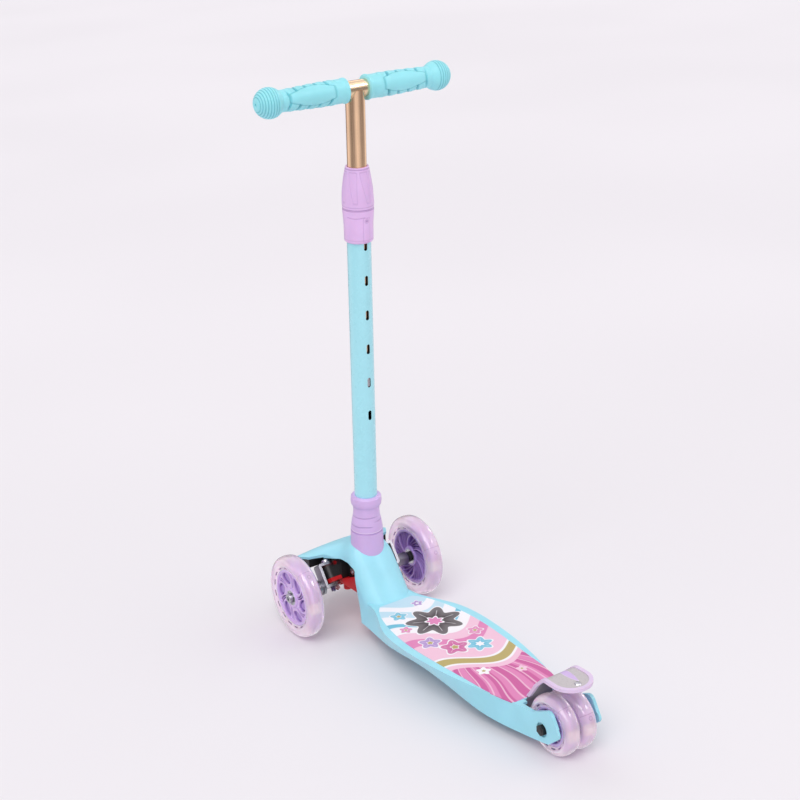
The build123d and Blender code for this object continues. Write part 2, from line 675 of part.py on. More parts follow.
# ---------------------------------------------------------------------------
# Wheels
# ---------------------------------------------------------------------------

def make_bearings():
    """Two sealed ball races, flush with the ends of the hub boss."""
    dish = 0.5
    half = BEARING_W / 2
    race = lathe([
        (AXLE_R + RUN_FIT, -half), (5.6, -half), (5.6, -half + dish), (9.3, -half + dish), (9.3, -half),
        (BEARING_R, -half), (BEARING_R, half), (9.3, half), (9.3, half - dish), (5.6, half - dish), (5.6, half),
        (AXLE_R + RUN_FIT, half)])
    shift = HUB_BOSS_W / 2 - half
    return [Pos(0, 0, shift) * race, Pos(0, 0, -shift) * race]


def blade(hub_r, sweep, bow):
    """Plan of one curved spoke, from the boss to the rim."""
    start, end = HUB_BOSS_R - 1, hub_r - HUB_RIM_T + 1
    mid = (start + end) / 2
    at = lambda radius, angle: (radius * math.cos(math.radians(angle)), radius * math.sin(math.radians(angle)))
    line = ThreePointArc(at(start, 0), at(mid, sweep / 2 + bow), at(end, sweep))
    return trace(line, BLADE_T)


def make_hub(hub_r, width, pairs, sweep):
    """Hub with a boss for the races, a thin web, swirling blades on both sides and a flange in the tyre."""
    half_rim = width / 2 - 2.0
    half_boss = HUB_BOSS_W / 2
    body = ring(hub_r, hub_r - HUB_RIM_T, -half_rim, half_rim)
    body = body + ring(hub_r + FLANGE_RISE, hub_r - 1, -FLANGE_W / 2, FLANGE_W / 2)
    body = body + ring(hub_r - HUB_RIM_T + 1, HUB_BOSS_R - 1, -WEB_T / 2, WEB_T / 2)
    spokes = Sketch()
    for i in range(pairs):
        turn = 360 / pairs * i
        spokes += Rot(0, 0, turn) * blade(hub_r, sweep, 9)
        spokes += Rot(0, 0, turn + 360 / pairs * 0.36) * blade(hub_r, sweep * 0.62, 7)
    body = body + Pos(0, 0, -half_rim + 1.5) * extrude(spokes, amount=2 * half_rim - 3)
    body = body + ring(HUB_BOSS_R, BEARING_R, -half_boss, half_boss)
    return solid_of(body)


def make_tyre(wheel_r, hub_r, width):
    """Cast tyre, crowned, with a groove over the hub's flange and pockets for the light blocks."""
    half = width / 2
    profile = make_face(Polyline(
        (hub_r, -half + 2), (hub_r + 6, -half), (wheel_r, -half), (wheel_r, half), (hub_r + 6, half),
        (hub_r, half - 2), close=True))
    corners = profile.vertices().sort_by(Axis.X)[-2:]
    body = revolve(Plane.XZ * fillet(corners, radius=width * 0.36), Axis.Z)
    body = body - ring(hub_r + FLANGE_RISE, hub_r - 2, -FLANGE_W / 2, FLANGE_W / 2)
    for light in make_lights(hub_r):
        body = body - light
    return solid_of(body)


def make_lights(hub_r):
    """Light blocks cast into the tyre, outside the hub's flange."""
    low = hub_r + FLANGE_RISE + 0.6
    piece = block(low, low + LIGHT_TALL, -LIGHT_LONG / 2, LIGHT_LONG / 2, -LIGHT_WIDE / 2, LIGHT_WIDE / 2)
    return [Rot(0, 0, 30 + 120 * i) * piece for i in range(3)]


def make_led_core():
    """Coil ring pressed into the hub between the races."""
    half = HUB_BOSS_W / 2 - BEARING_W
    return ring(BEARING_R, 7.0, -half, half)


def make_magnet():
    """Magnet sleeve that stands still on the axle, inside the coil ring."""
    half = HUB_BOSS_W / 2 - BEARING_W - FACE_GAP
    return ring(6.4, AXLE_R, -half, half)


def wheel_pieces(wheel_r, hub_r, width, pairs, sweep):
    """All that turns with one wheel, about Z, as name and shape."""
    return {
        "tyre": make_tyre(wheel_r, hub_r, width),
        "hub": make_hub(hub_r, width, pairs, sweep),
        "bearings": make_bearings(),
        "coil": make_led_core(),
        "lights": make_lights(hub_r),
    }


def make_axle_bolt():
    """Front axle bolt: domed head outside the wheel, thread in the axle holder's boss."""
    head_face = HUB_BOSS_W / 2 + FACE_GAP
    inner_end = KINGPIN_X + LEG_INNER + 1 - TRACK_HALF
    bolt = disc(AXLE_R, inner_end, head_face) + disc(7.0, head_face, head_face + 5)
    bolt = fillet(bolt.faces().sort_by(Axis.Z)[-1].edges(), 1.5)
    bolt = bolt - Pos(0, 0, head_face + 2.5) * extrude(RegularPolygon(3.4, 6), amount=5)
    return across(bolt, TRACK_HALF, FRONT_Y, FRONT_WHEEL_R)


def make_axle_washer():
    """Black spacer between the axle holder's boss and the inner race."""
    outer_end = -HUB_BOSS_W / 2 - FACE_GAP
    return across(ring(7.5, AXLE_R, AXLE_BOSS_END - TRACK_HALF, outer_end), TRACK_HALF, FRONT_Y, FRONT_WHEEL_R)


def make_rear_axle():
    """Rear axle bolt and its nut, each sunk in its cheek's recess."""
    seat = FORK_HALF - AXLE_RECESS_T
    bolt = disc(AXLE_R, -seat - 6, seat) + disc(7.0, seat, seat + 4)
    bolt = fillet(bolt.faces().sort_by(Axis.Z)[-1].edges(), 1.2)
    bolt = bolt - Pos(0, 0, seat + 2) * extrude(RegularPolygon(3.4, 6), amount=5)
    nut = Pos(0, 0, -seat - 5.5) * extrude(RegularPolygon(7.4, 6), amount=5.5) - disc(AXLE_R, -90, 90)
    return across(bolt, 0, REAR_Y, REAR_WHEEL_R), across(nut, 0, REAR_Y, REAR_WHEEL_R)


def make_rear_spacers():
    inner_edge = REAR_WHEEL_GAP / 2 + (REAR_WHEEL_W - HUB_BOSS_W) / 2
    outer_edge = inner_edge + HUB_BOSS_W
    middle = ring(6.5, AXLE_R, -inner_edge + FACE_GAP, inner_edge - FACE_GAP)
    side = ring(7.5, AXLE_R, outer_edge + FACE_GAP, FORK_IN - CHEEK_BOSS_T)
    parts = [across(middle, 0, REAR_Y, REAR_WHEEL_R)]
    side = across(side, 0, REAR_Y, REAR_WHEEL_R)
    return parts + [side, other_side(side)]


# ---------------------------------------------------------------------------
# Brake fender
# ---------------------------------------------------------------------------

def fender_line(shift=0.0):
    """Side view of the plate's underside, moved outward by shift."""
    y0, z0 = ahead(FENDER_PIN_AHEAD), FENDER_PIN_Z
    rise = FilletPolyline(
        (y0 - 4.0 + shift, z0),
        (y0 - 4.8 + shift, z0 + 14),
        (ahead(FENDER_BEND + 20) + shift * 0.8, FENDER_PAD_Z - 18 + shift * 0.5),
        (ahead(FENDER_BEND), FENDER_PAD_Z + shift),
        (ahead(-FENDER_END - 4), FENDER_PAD_Z + shift),
        radius=[20, 40, 12],
    )
    return rise


def fender_strip(thin, low=0.0):
    """The bent sheet, across the whole width, of this thickness, raised by low."""
    line = fender_line()
    lifted = Pos(0, 0)
    wire = Wire(line.edges())
    band = trace(wire, 2 * thin) if low == 0 else trace(wire, 2 * (thin + low))
    return extrude(Plane.YZ * band, amount=40, both=True)


def fender_plan(grow=0.0):
    """Plan of the plate: narrow foot, wider pad with a round end."""
    end_r = FENDER_PAD_HALF + grow
    centre = -FENDER_END + end_r - grow
    tip = ThreePointArc((end_r, ahead(centre)), (0, ahead(-FENDER_END) - grow), (-end_r, ahead(centre)))
    side = Spline((FENDER_FOOT_HALF + grow, ahead(FENDER_PIN_AHEAD + 8)), (FENDER_FOOT_HALF + grow, ahead(34)),
                  (FENDER_PAD_HALF - 1 + grow, ahead(6)), (end_r, ahead(centre)), tangents=[(0, -1), (0, -1)])
    other = mirror(side, Plane.YZ)
    front = Line((-FENDER_FOOT_HALF - grow, ahead(FENDER_PIN_AHEAD + 8)),
                 (FENDER_FOOT_HALF + grow, ahead(FENDER_PIN_AHEAD + 8)))
    return make_face([tip, side, other, front])


def make_fender_plate():
    sheet = fender_strip(FENDER_T / 2) & extrude(fender_plan(), amount=150)
    eye_r = FENDER_PIN_R + FENDER_T
    eye = across(disc(eye_r, -FENDER_FOOT_HALF, FENDER_FOOT_HALF), 0, ahead(FENDER_PIN_AHEAD), FENDER_PIN_Z)
    body = sheet + eye
    body = body - across(disc(FENDER_PIN_R + RUN_FIT, -60, 60), 0, ahead(FENDER_PIN_AHEAD), FENDER_PIN_Z)
    gap = SPRING_HALF + 1
    body = body - block(-gap, gap, ahead(FENDER_PIN_AHEAD) - 12, ahead(FENDER_PIN_AHEAD) + 8, FENDER_PIN_Z - 8,
                        FENDER_PIN_Z + 7)
    body = body - Pos(0, ahead(-FENDER_END + 13), 0) * disc(3.0, 90, 120)
    return solid_of(body)


def make_fender_trim(plate):
    """Moulded edge that wraps the plate's rim, from above the deck round the pad."""
    band = fender_plan(TRIM_LIP) - fender_plan(-TRIM_W)
    above = block(-60, 60, ahead(-80), ahead(80), DECK_Z + 6, 150)
    wrap = fender_strip(FENDER_T / 2, TRIM_T) & extrude(band, amount=150) & above
    return solid_of(wrap - plate)


def make_fender_rivet():
    z = FENDER_PAD_Z
    rivet = lathe([(0, z - 2.6), (4.6, z - 2.6), (4.6, z - 1.0), (3.0, z - 1.0), (3.0, z + 1.0), (4.6, z + 1.0),
                   (3.4, z + 2.4), (0, z + 2.8)])
    return Pos(0, ahead(-FENDER_END + 13), 0) * rivet


def make_fender_pin():
    pin = across(disc(FENDER_PIN_R, -28, 28), 0, ahead(FENDER_PIN_AHEAD), FENDER_PIN_Z)
    return pin


def make_fender_spring():
    """Close-wound torsion spring on the pin, with one leg forward under the deck."""
    coils = 6
    wire = 2 * SPRING_HALF / coils
    points = [(FENDER_PIN_R + 0.2, -SPRING_HALF)]
    for i in range(coils):
        low = -SPRING_HALF + i * wire
        points += [(FENDER_PIN_R + 1.2, low), (FENDER_PIN_R + 2.2, low + wire / 2)]
    points += [(FENDER_PIN_R + 1.2, SPRING_HALF), (FENDER_PIN_R + 0.2, SPRING_HALF)]
    coil = across(lathe(points), 0, ahead(FENDER_PIN_AHEAD), FENDER_PIN_Z)
    leg = block(-1, 1, ahead(FENDER_PIN_AHEAD), ahead(FENDER_PIN_AHEAD + 16), FENDER_PIN_Z + 2.2, FENDER_PIN_Z + 4.0)
    return coil + leg


# ---------------------------------------------------------------------------
# Stem, lock and handlebar
# ---------------------------------------------------------------------------

def slot_rises():
    """Heights of the latch slots above the seat."""
    return [SLOT_FIRST + SLOT_PITCH * i for i in range(SLOT_COUNT)]


def stadium(width, height):
    """Upright slot outline, in a plane that faces the rear."""
    return SlotOverall(height, width)


def rear_slot(width, height, rise, near, far):
    """A slot-shaped prism that runs out through the rear wall of the stem."""
    shape = extrude(Rot(0, 0, 90) * stadium(width, height), amount=far - near)
    return Pos(0, -near, rise) * Rot(90, 0, 0) * shape


def make_lower_tube():
    inner = LOWER_TUBE_R - LOWER_TUBE_WALL
    tube = ring(LOWER_TUBE_R, inner, LOWER_TUBE_FOOT, LOWER_TUBE_LEN)
    for rise in slot_rises():
        tube = tube - rear_slot(SLOT_W, SLOT_H, rise, inner - 2, LOWER_TUBE_R + 2)
    keyway = block(-SLOT_W / 2, SLOT_W / 2, -inner - KEYWAY_DEPTH, -inner + 2, slot_rises()[0] - SLOT_H,
                   slot_rises()[-1] + SLOT_H)
    tube = stem_place() * (tube - keyway)
    return solid_of(tube - stem_bolt_hole())


def make_stem_bolt():
    shaft = disc(3.0, -24.5, 22) + disc(5.2, 22, 25.5)
    nut = Pos(0, 0, -26.5) * extrude(RegularPolygon(5.8, 6), amount=4.5) - disc(3.0, -60, 60)
    y = behind(STEM_BACK) - 0.9
    return [across(shaft, 0, y, 85), across(nut, 0, y, 85)]


def make_base_collar():
    """Soft-cornered boot that covers the stem's foot and sits on the hood."""
    bore = LOWER_TUBE_R
    line = [
        (bore, 20), (COLLAR_FOOT_R, 20), (COLLAR_FOOT_R, 44), (COLLAR_FOOT_R - 0.8, COLLAR_GROOVE_RISE - 1.2),
        (COLLAR_FOOT_R - 1.8, COLLAR_GROOVE_RISE), (COLLAR_FOOT_R - 1.0, COLLAR_GROOVE_RISE + 1.2),
        (COLLAR_FOOT_R - 2.6, COLLAR_GROOVE_RISE + 14), (COLLAR_WAIST_R + 0.6, COLLAR_WAIST_RISE - 8),
        (COLLAR_WAIST_R, COLLAR_WAIST_RISE), (COLLAR_WAIST_R + 0.4, COLLAR_TOP_RISE - 17),
        (COLLAR_BEAD_R - 0.8, COLLAR_TOP_RISE - 14), (COLLAR_BEAD_R, COLLAR_TOP_RISE - 9),
        (COLLAR_BEAD_R - 0.6, COLLAR_TOP_RISE - 2.5), (COLLAR_BEAD_R - 3, COLLAR_TOP_RISE), (bore, COLLAR_TOP_RISE),
    ]
    return solid_of(stem_place() * lathe(line) - hood_solid())


def make_lock_body():
    """Fixed half of the twist lock, clamped on the lower tube, with a neck up inside the nut."""
    bore = LOWER_TUBE_R
    split = LOCK_SPLIT_RISE - FACE_GAP
    body = lathe([
        (bore, LOCK_FOOT_RISE), (LOCK_FOOT_R, LOCK_FOOT_RISE), (LOCK_FOOT_R + 1.2, LOCK_FOOT_RISE + 3),
        (LOCK_FOOT_R + 1.3, LOCK_FOOT_RISE + 24), (LOCK_SPLIT_R - 0.2, split - 10), (LOCK_SPLIT_R, split),
        (LOCK_NECK_R, split), (LOCK_NECK_R, split + LOCK_NECK_LEN), (LOCK_NECK_R - 1.7, split + LOCK_NECK_LEN), (bore, split + LOCK_NECK_LEN - 4)])
    return stem_place() * body


def make_lock_collet():
    """Split nylon cone that the nut squeezes on the sliding tube."""
    inner = UPPER_TUBE_R + SLIDE_FIT
    low = LOWER_TUBE_LEN
    cone = lathe([
        (inner, low), (LOWER_TUBE_R - 0.1, low), (LOWER_TUBE_R - 0.1, low + COLLET_SHOULDER), (inner + 1.4, LOCK_TOP_RISE - COLLET_TIP),
        (inner, LOCK_TOP_RISE - COLLET_TIP)])
    for i in range(4):
        cone = cone - Rot(0, 0, 45 + 90 * i) * block(5, 30, -0.8, 0.8, low + 22, LOCK_TOP_RISE)
    return stem_place() * solid_of(cone)


def make_lock_nut():
    """Turning half of the twist lock: a barrel with shallow flutes and a cone inside."""
    low = LOCK_SPLIT_RISE
    top = LOCK_TOP_RISE
    inner = UPPER_TUBE_R + 0.5
    shell = lathe([
        (LOCK_NECK_R + FREE_GAP, low), (LOCK_SPLIT_R, low), (LOCK_SPLIT_R + 0.3, low + 8),
        (LOCK_SPLIT_R, low + 22), (LOCK_SPLIT_R - 2.3, low + 40), (LOCK_TOP_R, top - 2), (LOCK_TOP_R - 1, top),
        (inner, top), (inner, top - 4), (inner + 2.0, top - 8), (LOWER_TUBE_R + 0.9, low + LOCK_NECK_LEN + 1),
        (LOCK_NECK_R + FREE_GAP, low + LOCK_NECK_LEN + 1)])
    for i in range(LOCK_FLUTES):
        flute = Pos(LOCK_SPLIT_R + 7.1, 0, low + 10) * disc(7.5, 0, 26)
        shell = shell - Rot(0, 0, 360 / LOCK_FLUTES * i) * flute
    return stem_place() * shell


def button_rise():
    return slot_rises()[BUTTON_SLOT]


def make_upper_tube():
    """Sliding tube, coped at the top round the crossbar."""
    tube = ring(UPPER_TUBE_R, UPPER_TUBE_R - UPPER_TUBE_WALL, button_rise() - TUBE_TAIL, BAR_RISE)
    tube = tube - rear_slot(BUTTON_W + 0.4, BUTTON_H + 0.4, button_rise(), 5, 30)
    bar = Pos(0, 0, BAR_RISE) * Rot(0, 90, 0) * disc(BAR_R, -60, 60)
    return stem_place() * solid_of(tube - bar)


def make_crossbar():
    tube = ring(BAR_R, BAR_R - BAR_WALL, -(GRIP_END - 5), GRIP_END - 5)
    return stem_place(BAR_RISE) * Rot(0, 90, 0) * tube


def make_guide_bush():
    """Nylon slide on the upper tube's foot."""
    low = button_rise() - TUBE_TAIL
    outer = LOWER_TUBE_R - LOWER_TUBE_WALL - SLIDE_FIT
    bush = ring(outer, UPPER_TUBE_R, low, low + BUSH_LEN) + ring(outer, 8, low - 2, low)
    return stem_place() * bush


def make_snap_button():
    """Sprung latch button, seen in one of the slots."""
    face = LOWER_TUBE_R - LOWER_TUBE_WALL + KEYWAY_DEPTH - FREE_GAP
    return stem_place() * rear_slot(BUTTON_W, BUTTON_H, button_rise(), 6.5, face)


def make_button_spring():
    """V-shaped leaf inside the sliding tube, behind the button."""
    inner = UPPER_TUBE_R - UPPER_TUBE_WALL
    rise = button_rise()
    leaf = make_face(Polyline(
        (-6.2, rise + 5), (-6.2, rise - 5), (inner - 3.2, rise - 22), (inner - 1.6, rise + 6), (inner - 2.6, rise + 6),
        (inner - 4.0, rise - 19), (-5.2, rise - 4.6), (-5.2, rise + 5), close=True))
    return stem_place() * extrude(Plane.YZ * leaf, amount=2.5, both=True)


def make_grip():
    """Moulded grip with an inner flange, finger waves and a ball end, about Z."""
    bore = BAR_R
    flange = [(bore, GRIP_START), (GRIP_FLANGE_R - 0.8, GRIP_START), (GRIP_FLANGE_R, GRIP_START + 1.2),
              (GRIP_FLANGE_R - 0.6, GRIP_START + 3.5), (GRIP_R - 1.4, GRIP_START + 6)]
    first = GRIP_START + 12
    last = GRIP_END - 22
    pitch = (last - first) / GRIP_WAVES
    waves = []
    for i in range(GRIP_WAVES):
        low = first + pitch * i
        fall = (GRIP_R - GRIP_NECK_R - 0.5) * i / GRIP_WAVES
        waves += [(GRIP_R - 0.7 - fall, low), (GRIP_R - fall, low + pitch * 0.2), (GRIP_R - fall, low + pitch * 0.7)]
    outer = Polyline(*flange, *waves, (GRIP_NECK_R, last))
    reach = math.sqrt(GRIP_BALL_R ** 2 - GRIP_NECK_R ** 2)
    joint = GRIP_END - reach
    turn = math.radians(35)
    shoulder = Line((GRIP_NECK_R, last), (GRIP_NECK_R, joint))
    end_flat = 6.0
    tip = GRIP_END + math.sqrt(GRIP_BALL_R ** 2 - end_flat ** 2)
    ball = ThreePointArc((GRIP_NECK_R, joint),
                         (GRIP_BALL_R * math.cos(turn), GRIP_END + GRIP_BALL_R * math.sin(turn)),
                         (end_flat, tip))
    stop = GRIP_END - 5
    close = Polyline((end_flat, tip), (2.0, tip), (2.0, tip - 6), (0, tip - 6), (0, stop), (bore, stop),
                     (bore, GRIP_START))
    return revolve(Plane.XZ * make_face([outer, shoulder, ball, close]), Axis.Z)


# ---------------------------------------------------------------------------
# Assembly: one file for each node
# ---------------------------------------------------------------------------

def build_all():
    nodes = {}
    nodes["deck_shell"] = make_deck_shell()
    nodes["deck_mat"] = make_deck_mat()
    nodes["truck_upper_housing"] = make_upper_housing()
    nodes["truck_lower_cover"] = make_lower_cover()
    nodes["truck_screws"] = make_truck_screws()
    pins, nuts, bushes = [], [], []
    for side in (-1, 1):
        place = kingpin_place(side)
        pins.append(place * make_kingpin())
        nuts.append(place * make_kingpin_nut())
        bushes += [place * bush for bush in make_kingpin_bushes()]
    nodes["kingpins"] = pins
    nodes["kingpin_nuts"] = nuts
    nodes["kingpin_bushes"] = bushes
    nodes["lean_bumpers"] = [bumper(-1), bumper(1)]
    nodes["base_collar"] = make_base_collar()
    nodes["lower_tube"] = make_lower_tube()
    nodes["stem_bolt"] = make_stem_bolt()
    nodes["lock_body"] = make_lock_body()
    nodes["lock_collet"] = make_lock_collet()
    nodes["lock_nut"] = make_lock_nut()

    rights = {"knuckle": make_knuckle(), "axle_bolt": make_axle_bolt(), "axle_washer": make_axle_washer(),
              "magnet": across(make_magnet(), TRACK_HALF, FRONT_Y, FRONT_WHEEL_R)}
    front = wheel_pieces(FRONT_WHEEL_R, FRONT_HUB_R, FRONT_WHEEL_W, 7, 62)
    for name, shape in front.items():
        group = shape if isinstance(shape, list) else [shape]
        rights["front_" + name] = [across(piece, TRACK_HALF, FRONT_Y, FRONT_WHEEL_R) for piece in group]
    rear = wheel_pieces(REAR_WHEEL_R, REAR_HUB_R, REAR_WHEEL_W, 5, 40)
    rear_x = REAR_WHEEL_GAP / 2 + REAR_WHEEL_W / 2
    for name, shape in rear.items():
        group = shape if isinstance(shape, list) else [shape]
        rights["rear_" + name] = [across(piece, rear_x, REAR_Y, REAR_WHEEL_R) for piece in group]
    for name, shape in rights.items():
        group = shape if isinstance(shape, list) else [shape]
        nodes["right_" + name] = group
        nodes["left_" + name] = [other_side(piece) for piece in group]
    nodes["tie_rod"] = make_tie_rod()

    bolt, nut = make_rear_axle()
    nodes["rear_axle_bolt"] = bolt
    nodes["rear_axle_nut"] = nut
    nodes["rear_axle_spacers"] = make_rear_spacers()
    magnet = across(make_magnet(), rear_x, REAR_Y, REAR_WHEEL_R)
    nodes["rear_magnets"] = [magnet, other_side(magnet)]
    plate = make_fender_plate()
    nodes["fender_plate"] = plate
    nodes["fender_trim"] = make_fender_trim(plate)
    nodes["fender_rivet"] = make_fender_rivet()
    nodes["fender_pin"] = make_fender_pin()
    nodes["fender_spring"] = make_fender_spring()

    nodes["upper_tube"] = make_upper_tube()
    nodes["crossbar"] = make_crossbar()
    nodes["guide_bush"] = make_guide_bush()
    nodes["snap_button"] = make_snap_button()
    nodes["button_spring"] = make_button_spring()
    grip = stem_place(BAR_RISE) * Rot(0, 90, 0) * make_grip()
    nodes["right_grip"] = grip
    nodes["left_grip"] = other_side(grip)
    return nodes


def main():
    os.makedirs("parts", exist_ok=True)
    for name, shape in build_all().items():
        group = shape if isinstance(shape, list) else [shape]
        solids = [solid for piece in group for solid in piece.solids()]
        export_step(Compound(children=solids), f"parts/{name}.step")


if __name__ == "__main__":
    main()
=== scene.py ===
"""Looks of a child's lean-to-steer kick scooter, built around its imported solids.

Every piece is in metres, in the frame of the solids: +Y is forward, +X is the
rider's right and +Z is up. The origin is on the floor.
"""

import json
import logging
import math
from dataclasses import dataclass, field
from enum import Enum
from typing import Callable, Optional, Protocol, Sequence, Union

import bpy
import numpy as np
from mathutils import Matrix, Vector

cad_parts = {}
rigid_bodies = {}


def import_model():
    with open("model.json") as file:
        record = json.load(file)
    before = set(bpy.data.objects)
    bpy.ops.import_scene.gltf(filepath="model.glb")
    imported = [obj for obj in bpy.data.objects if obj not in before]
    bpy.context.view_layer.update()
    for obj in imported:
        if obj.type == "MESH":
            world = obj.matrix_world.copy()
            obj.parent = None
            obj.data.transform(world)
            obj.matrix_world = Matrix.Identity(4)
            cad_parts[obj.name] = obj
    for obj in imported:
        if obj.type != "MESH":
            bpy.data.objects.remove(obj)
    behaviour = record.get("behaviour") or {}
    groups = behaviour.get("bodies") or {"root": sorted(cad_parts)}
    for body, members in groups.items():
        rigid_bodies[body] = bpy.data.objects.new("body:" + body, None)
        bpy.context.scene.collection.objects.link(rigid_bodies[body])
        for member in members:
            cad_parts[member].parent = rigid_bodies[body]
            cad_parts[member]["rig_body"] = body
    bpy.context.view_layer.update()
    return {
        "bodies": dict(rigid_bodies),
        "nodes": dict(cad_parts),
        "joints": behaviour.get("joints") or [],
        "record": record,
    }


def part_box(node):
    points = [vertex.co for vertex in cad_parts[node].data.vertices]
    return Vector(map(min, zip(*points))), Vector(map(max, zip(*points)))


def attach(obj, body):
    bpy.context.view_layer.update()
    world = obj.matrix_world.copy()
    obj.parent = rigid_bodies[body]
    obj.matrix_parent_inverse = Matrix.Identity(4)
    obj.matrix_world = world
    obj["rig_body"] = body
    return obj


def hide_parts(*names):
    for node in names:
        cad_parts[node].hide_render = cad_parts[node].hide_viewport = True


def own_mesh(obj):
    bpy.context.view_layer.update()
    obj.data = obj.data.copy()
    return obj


LOG = logging.getLogger("scooter")
MM = 0.001
GRAIN_DEPTH = 0.2 * MM
MERGES_PER_METRE = 2e5
# Numbers of the Mix node's sockets: the factor and the two values, then the result.
MIX_COLOUR_INPUTS, MIX_COLOUR_OUTPUT = (0, 6, 7), 2
MIX_NUMBER_INPUTS, MIX_NUMBER_OUTPUT = (0, 2, 3), 0

Triple = tuple[float, float, float]
Colour = Triple
Points = np.ndarray
Socket = bpy.types.NodeSocket
Value = Union[float, Socket]
Shaped = tuple[np.ndarray, np.ndarray, np.ndarray]
Relief = Callable[[np.ndarray, np.ndarray, np.ndarray], Shaped]
Shade = Callable[[np.ndarray, np.ndarray], np.ndarray]


def tone(red: int, green: int, blue: int) -> Colour:
    """A display colour from 0 to 255, as the linear values that shaders use."""
    parts = np.array([red, green, blue], float) / 255.0
    linear = np.where(parts <= 0.04045, parts / 12.92, ((parts + 0.055) / 1.055) ** 2.4)
    return tuple(float(part) for part in linear)


class Side(Enum):
    """Side of the scooter, as the sign of X."""

    LEFT = -1
    RIGHT = 1

    @property
    def word(self) -> str:
        """Name of the side as the solids use it."""
        return self.name.lower()


# ---------------------------------------------------------------------------
# Finishes
# ---------------------------------------------------------------------------


class Graph:
    """Node tree of a material or of the world, with short calls for the nodes that it uses."""

    def __init__(self, owner: Union[bpy.types.Material, bpy.types.World]) -> None:
        """Start an empty tree.

        Args:
            owner: Material or world that the tree belongs to.
        """
        owner.use_nodes = True
        self.owner = owner
        self.tree = owner.node_tree
        self.tree.nodes.clear()

    @classmethod
    def of_material(cls, name: str) -> "Graph":
        """The empty tree of a new material."""
        return cls(bpy.data.materials.new(name))

    def add(self, kind: str, **settings: object) -> bpy.types.Node:
        """Add a node and set its properties.

        Args:
            kind: Node type without the ShaderNode prefix.
            **settings: Properties of the node.

        Returns:
            The new node.
        """
        node = self.tree.nodes.new("ShaderNode" + kind)
        for key, value in settings.items():
            setattr(node, key, value)
        return node

    def feed(self, socket: Socket, value: object) -> None:
        """Link a socket into another, or set its constant.

        Args:
            socket: Socket that takes the value.
            value: Socket, number or colour, or nothing to leave it as it is.
        """
        if isinstance(value, bpy.types.NodeSocket):
            self.tree.links.new(value, socket)
        elif value is not None:
            if isinstance(value, tuple) and len(value) == 3 and socket.type == "RGBA":
                value = (*value, 1.0)
            socket.default_value = value

    def place(self) -> Socket:
        """Object coordinates, which are the scooter's own frame."""
        return self.add("TexCoord").outputs["Object"]

    def axes(self, vector: Optional[Socket] = None) -> tuple[Socket, Socket, Socket]:
        """The three parts of a vector, or of the place itself."""
        node = self.add("SeparateXYZ")
        self.feed(node.inputs[0], vector or self.place())
        return node.outputs[0], node.outputs[1], node.outputs[2]

    def math(self, kind: str, *values: Value, clamp: bool = False) -> Socket:
        """One arithmetic step.

        Args:
            kind: Operation of the Math node.
            *values: Up to three numbers or sockets.
            clamp: Whether the result stays between 0 and 1.

        Returns:
            The result.
        """
        node = self.add("Math", operation=kind, use_clamp=clamp)
        for socket, value in zip(node.inputs, values):
            self.feed(socket, value)
        return node.outputs[0]

    def step(self, value: Value, low: float, high: float) -> Socket:
        """A smooth rise from 0 at low to 1 at high, or a fall if high is below low.

        Args:
            value: Number or socket to measure.
            low: Where the result is 0.
            high: Where the result is 1.

        Returns:
            The share from 0 to 1.
        """
        node = self.add("MapRange", interpolation_type="SMOOTHSTEP")
        start, end, first, last = (low, high, 0.0, 1.0) if low < high else (high, low, 1.0, 0.0)
        for index, number in enumerate((value, start, end, first, last)):
            self.feed(node.inputs[index], number)
        return node.outputs[0]

    def blend(self, factor: Value, first: object, second: object) -> Socket:
        """A colour between two colours.

        Args:
            factor: 0 gives the first colour and 1 the second.
            first: Colour or socket.
            second: Colour or socket.

        Returns:
            The mixed colour.
        """
        node = self.add("Mix", data_type="RGBA")
        for index, value in zip(MIX_COLOUR_INPUTS, (factor, first, second)):
            self.feed(node.inputs[index], value)
        return node.outputs[MIX_COLOUR_OUTPUT]

    def noise(self, scale: float, detail: float = 2.0, vector: Optional[Socket] = None) -> Socket:
        """Cloudy noise from 0 to 1.

        Args:
            scale: Number of clouds in a metre.
            detail: How far the clouds break up into finer ones.
            vector: Place to measure at, or nothing for Object coordinates.

        Returns:
            The noise.
        """
        node = self.add("TexNoise")
        self.feed(node.inputs["Vector"], vector or self.place())
        self.feed(node.inputs["Scale"], scale)
        self.feed(node.inputs["Detail"], detail)
        return node.outputs[0]

    def stretch(self, x: float, y: float, z: float, turn: float = 0.0) -> Socket:
        """Object coordinates turned about X, then scaled on each axis.

        Args:
            x: Scale on X.
            y: Scale on Y.
            z: Scale on Z.
            turn: Angle that is taken off before the scaling, in radians.

        Returns:
            The coordinates.
        """
        place = self.place()
        if turn:
            turned = self.add("Mapping", vector_type="TEXTURE")
            self.feed(turned.inputs["Vector"], place)
            turned.inputs["Rotation"].default_value = (turn, 0.0, 0.0)
            place = turned.outputs[0]
        scaled = self.add("Mapping")
        self.feed(scaled.inputs["Vector"], place)
        scaled.inputs["Scale"].default_value = (x, y, z)
        return scaled.outputs[0]

    def length(self, first: Socket, second: Socket) -> Socket:
        """Length of a flat vector: the root of the sum of its two squared parts."""
        squares = [self.math("POWER", part, 2.0) for part in (first, second)]
        return self.math("SQRT", self.math("ADD", *squares))

    def gloss(self, scale: float, detail: float, spread: float, low: float) -> Socket:
        """Roughness that noise lifts from a low value by up to a spread."""
        return self.math("MULTIPLY_ADD", self.noise(scale, detail), spread, low)

    def grain(self, scale: float, strength: float, under: Optional[Socket] = None) -> Socket:
        """Normal of a fine moulded grain, over the relief under it."""
        return self.bump(self.noise(scale, 2.0), strength, GRAIN_DEPTH, under)

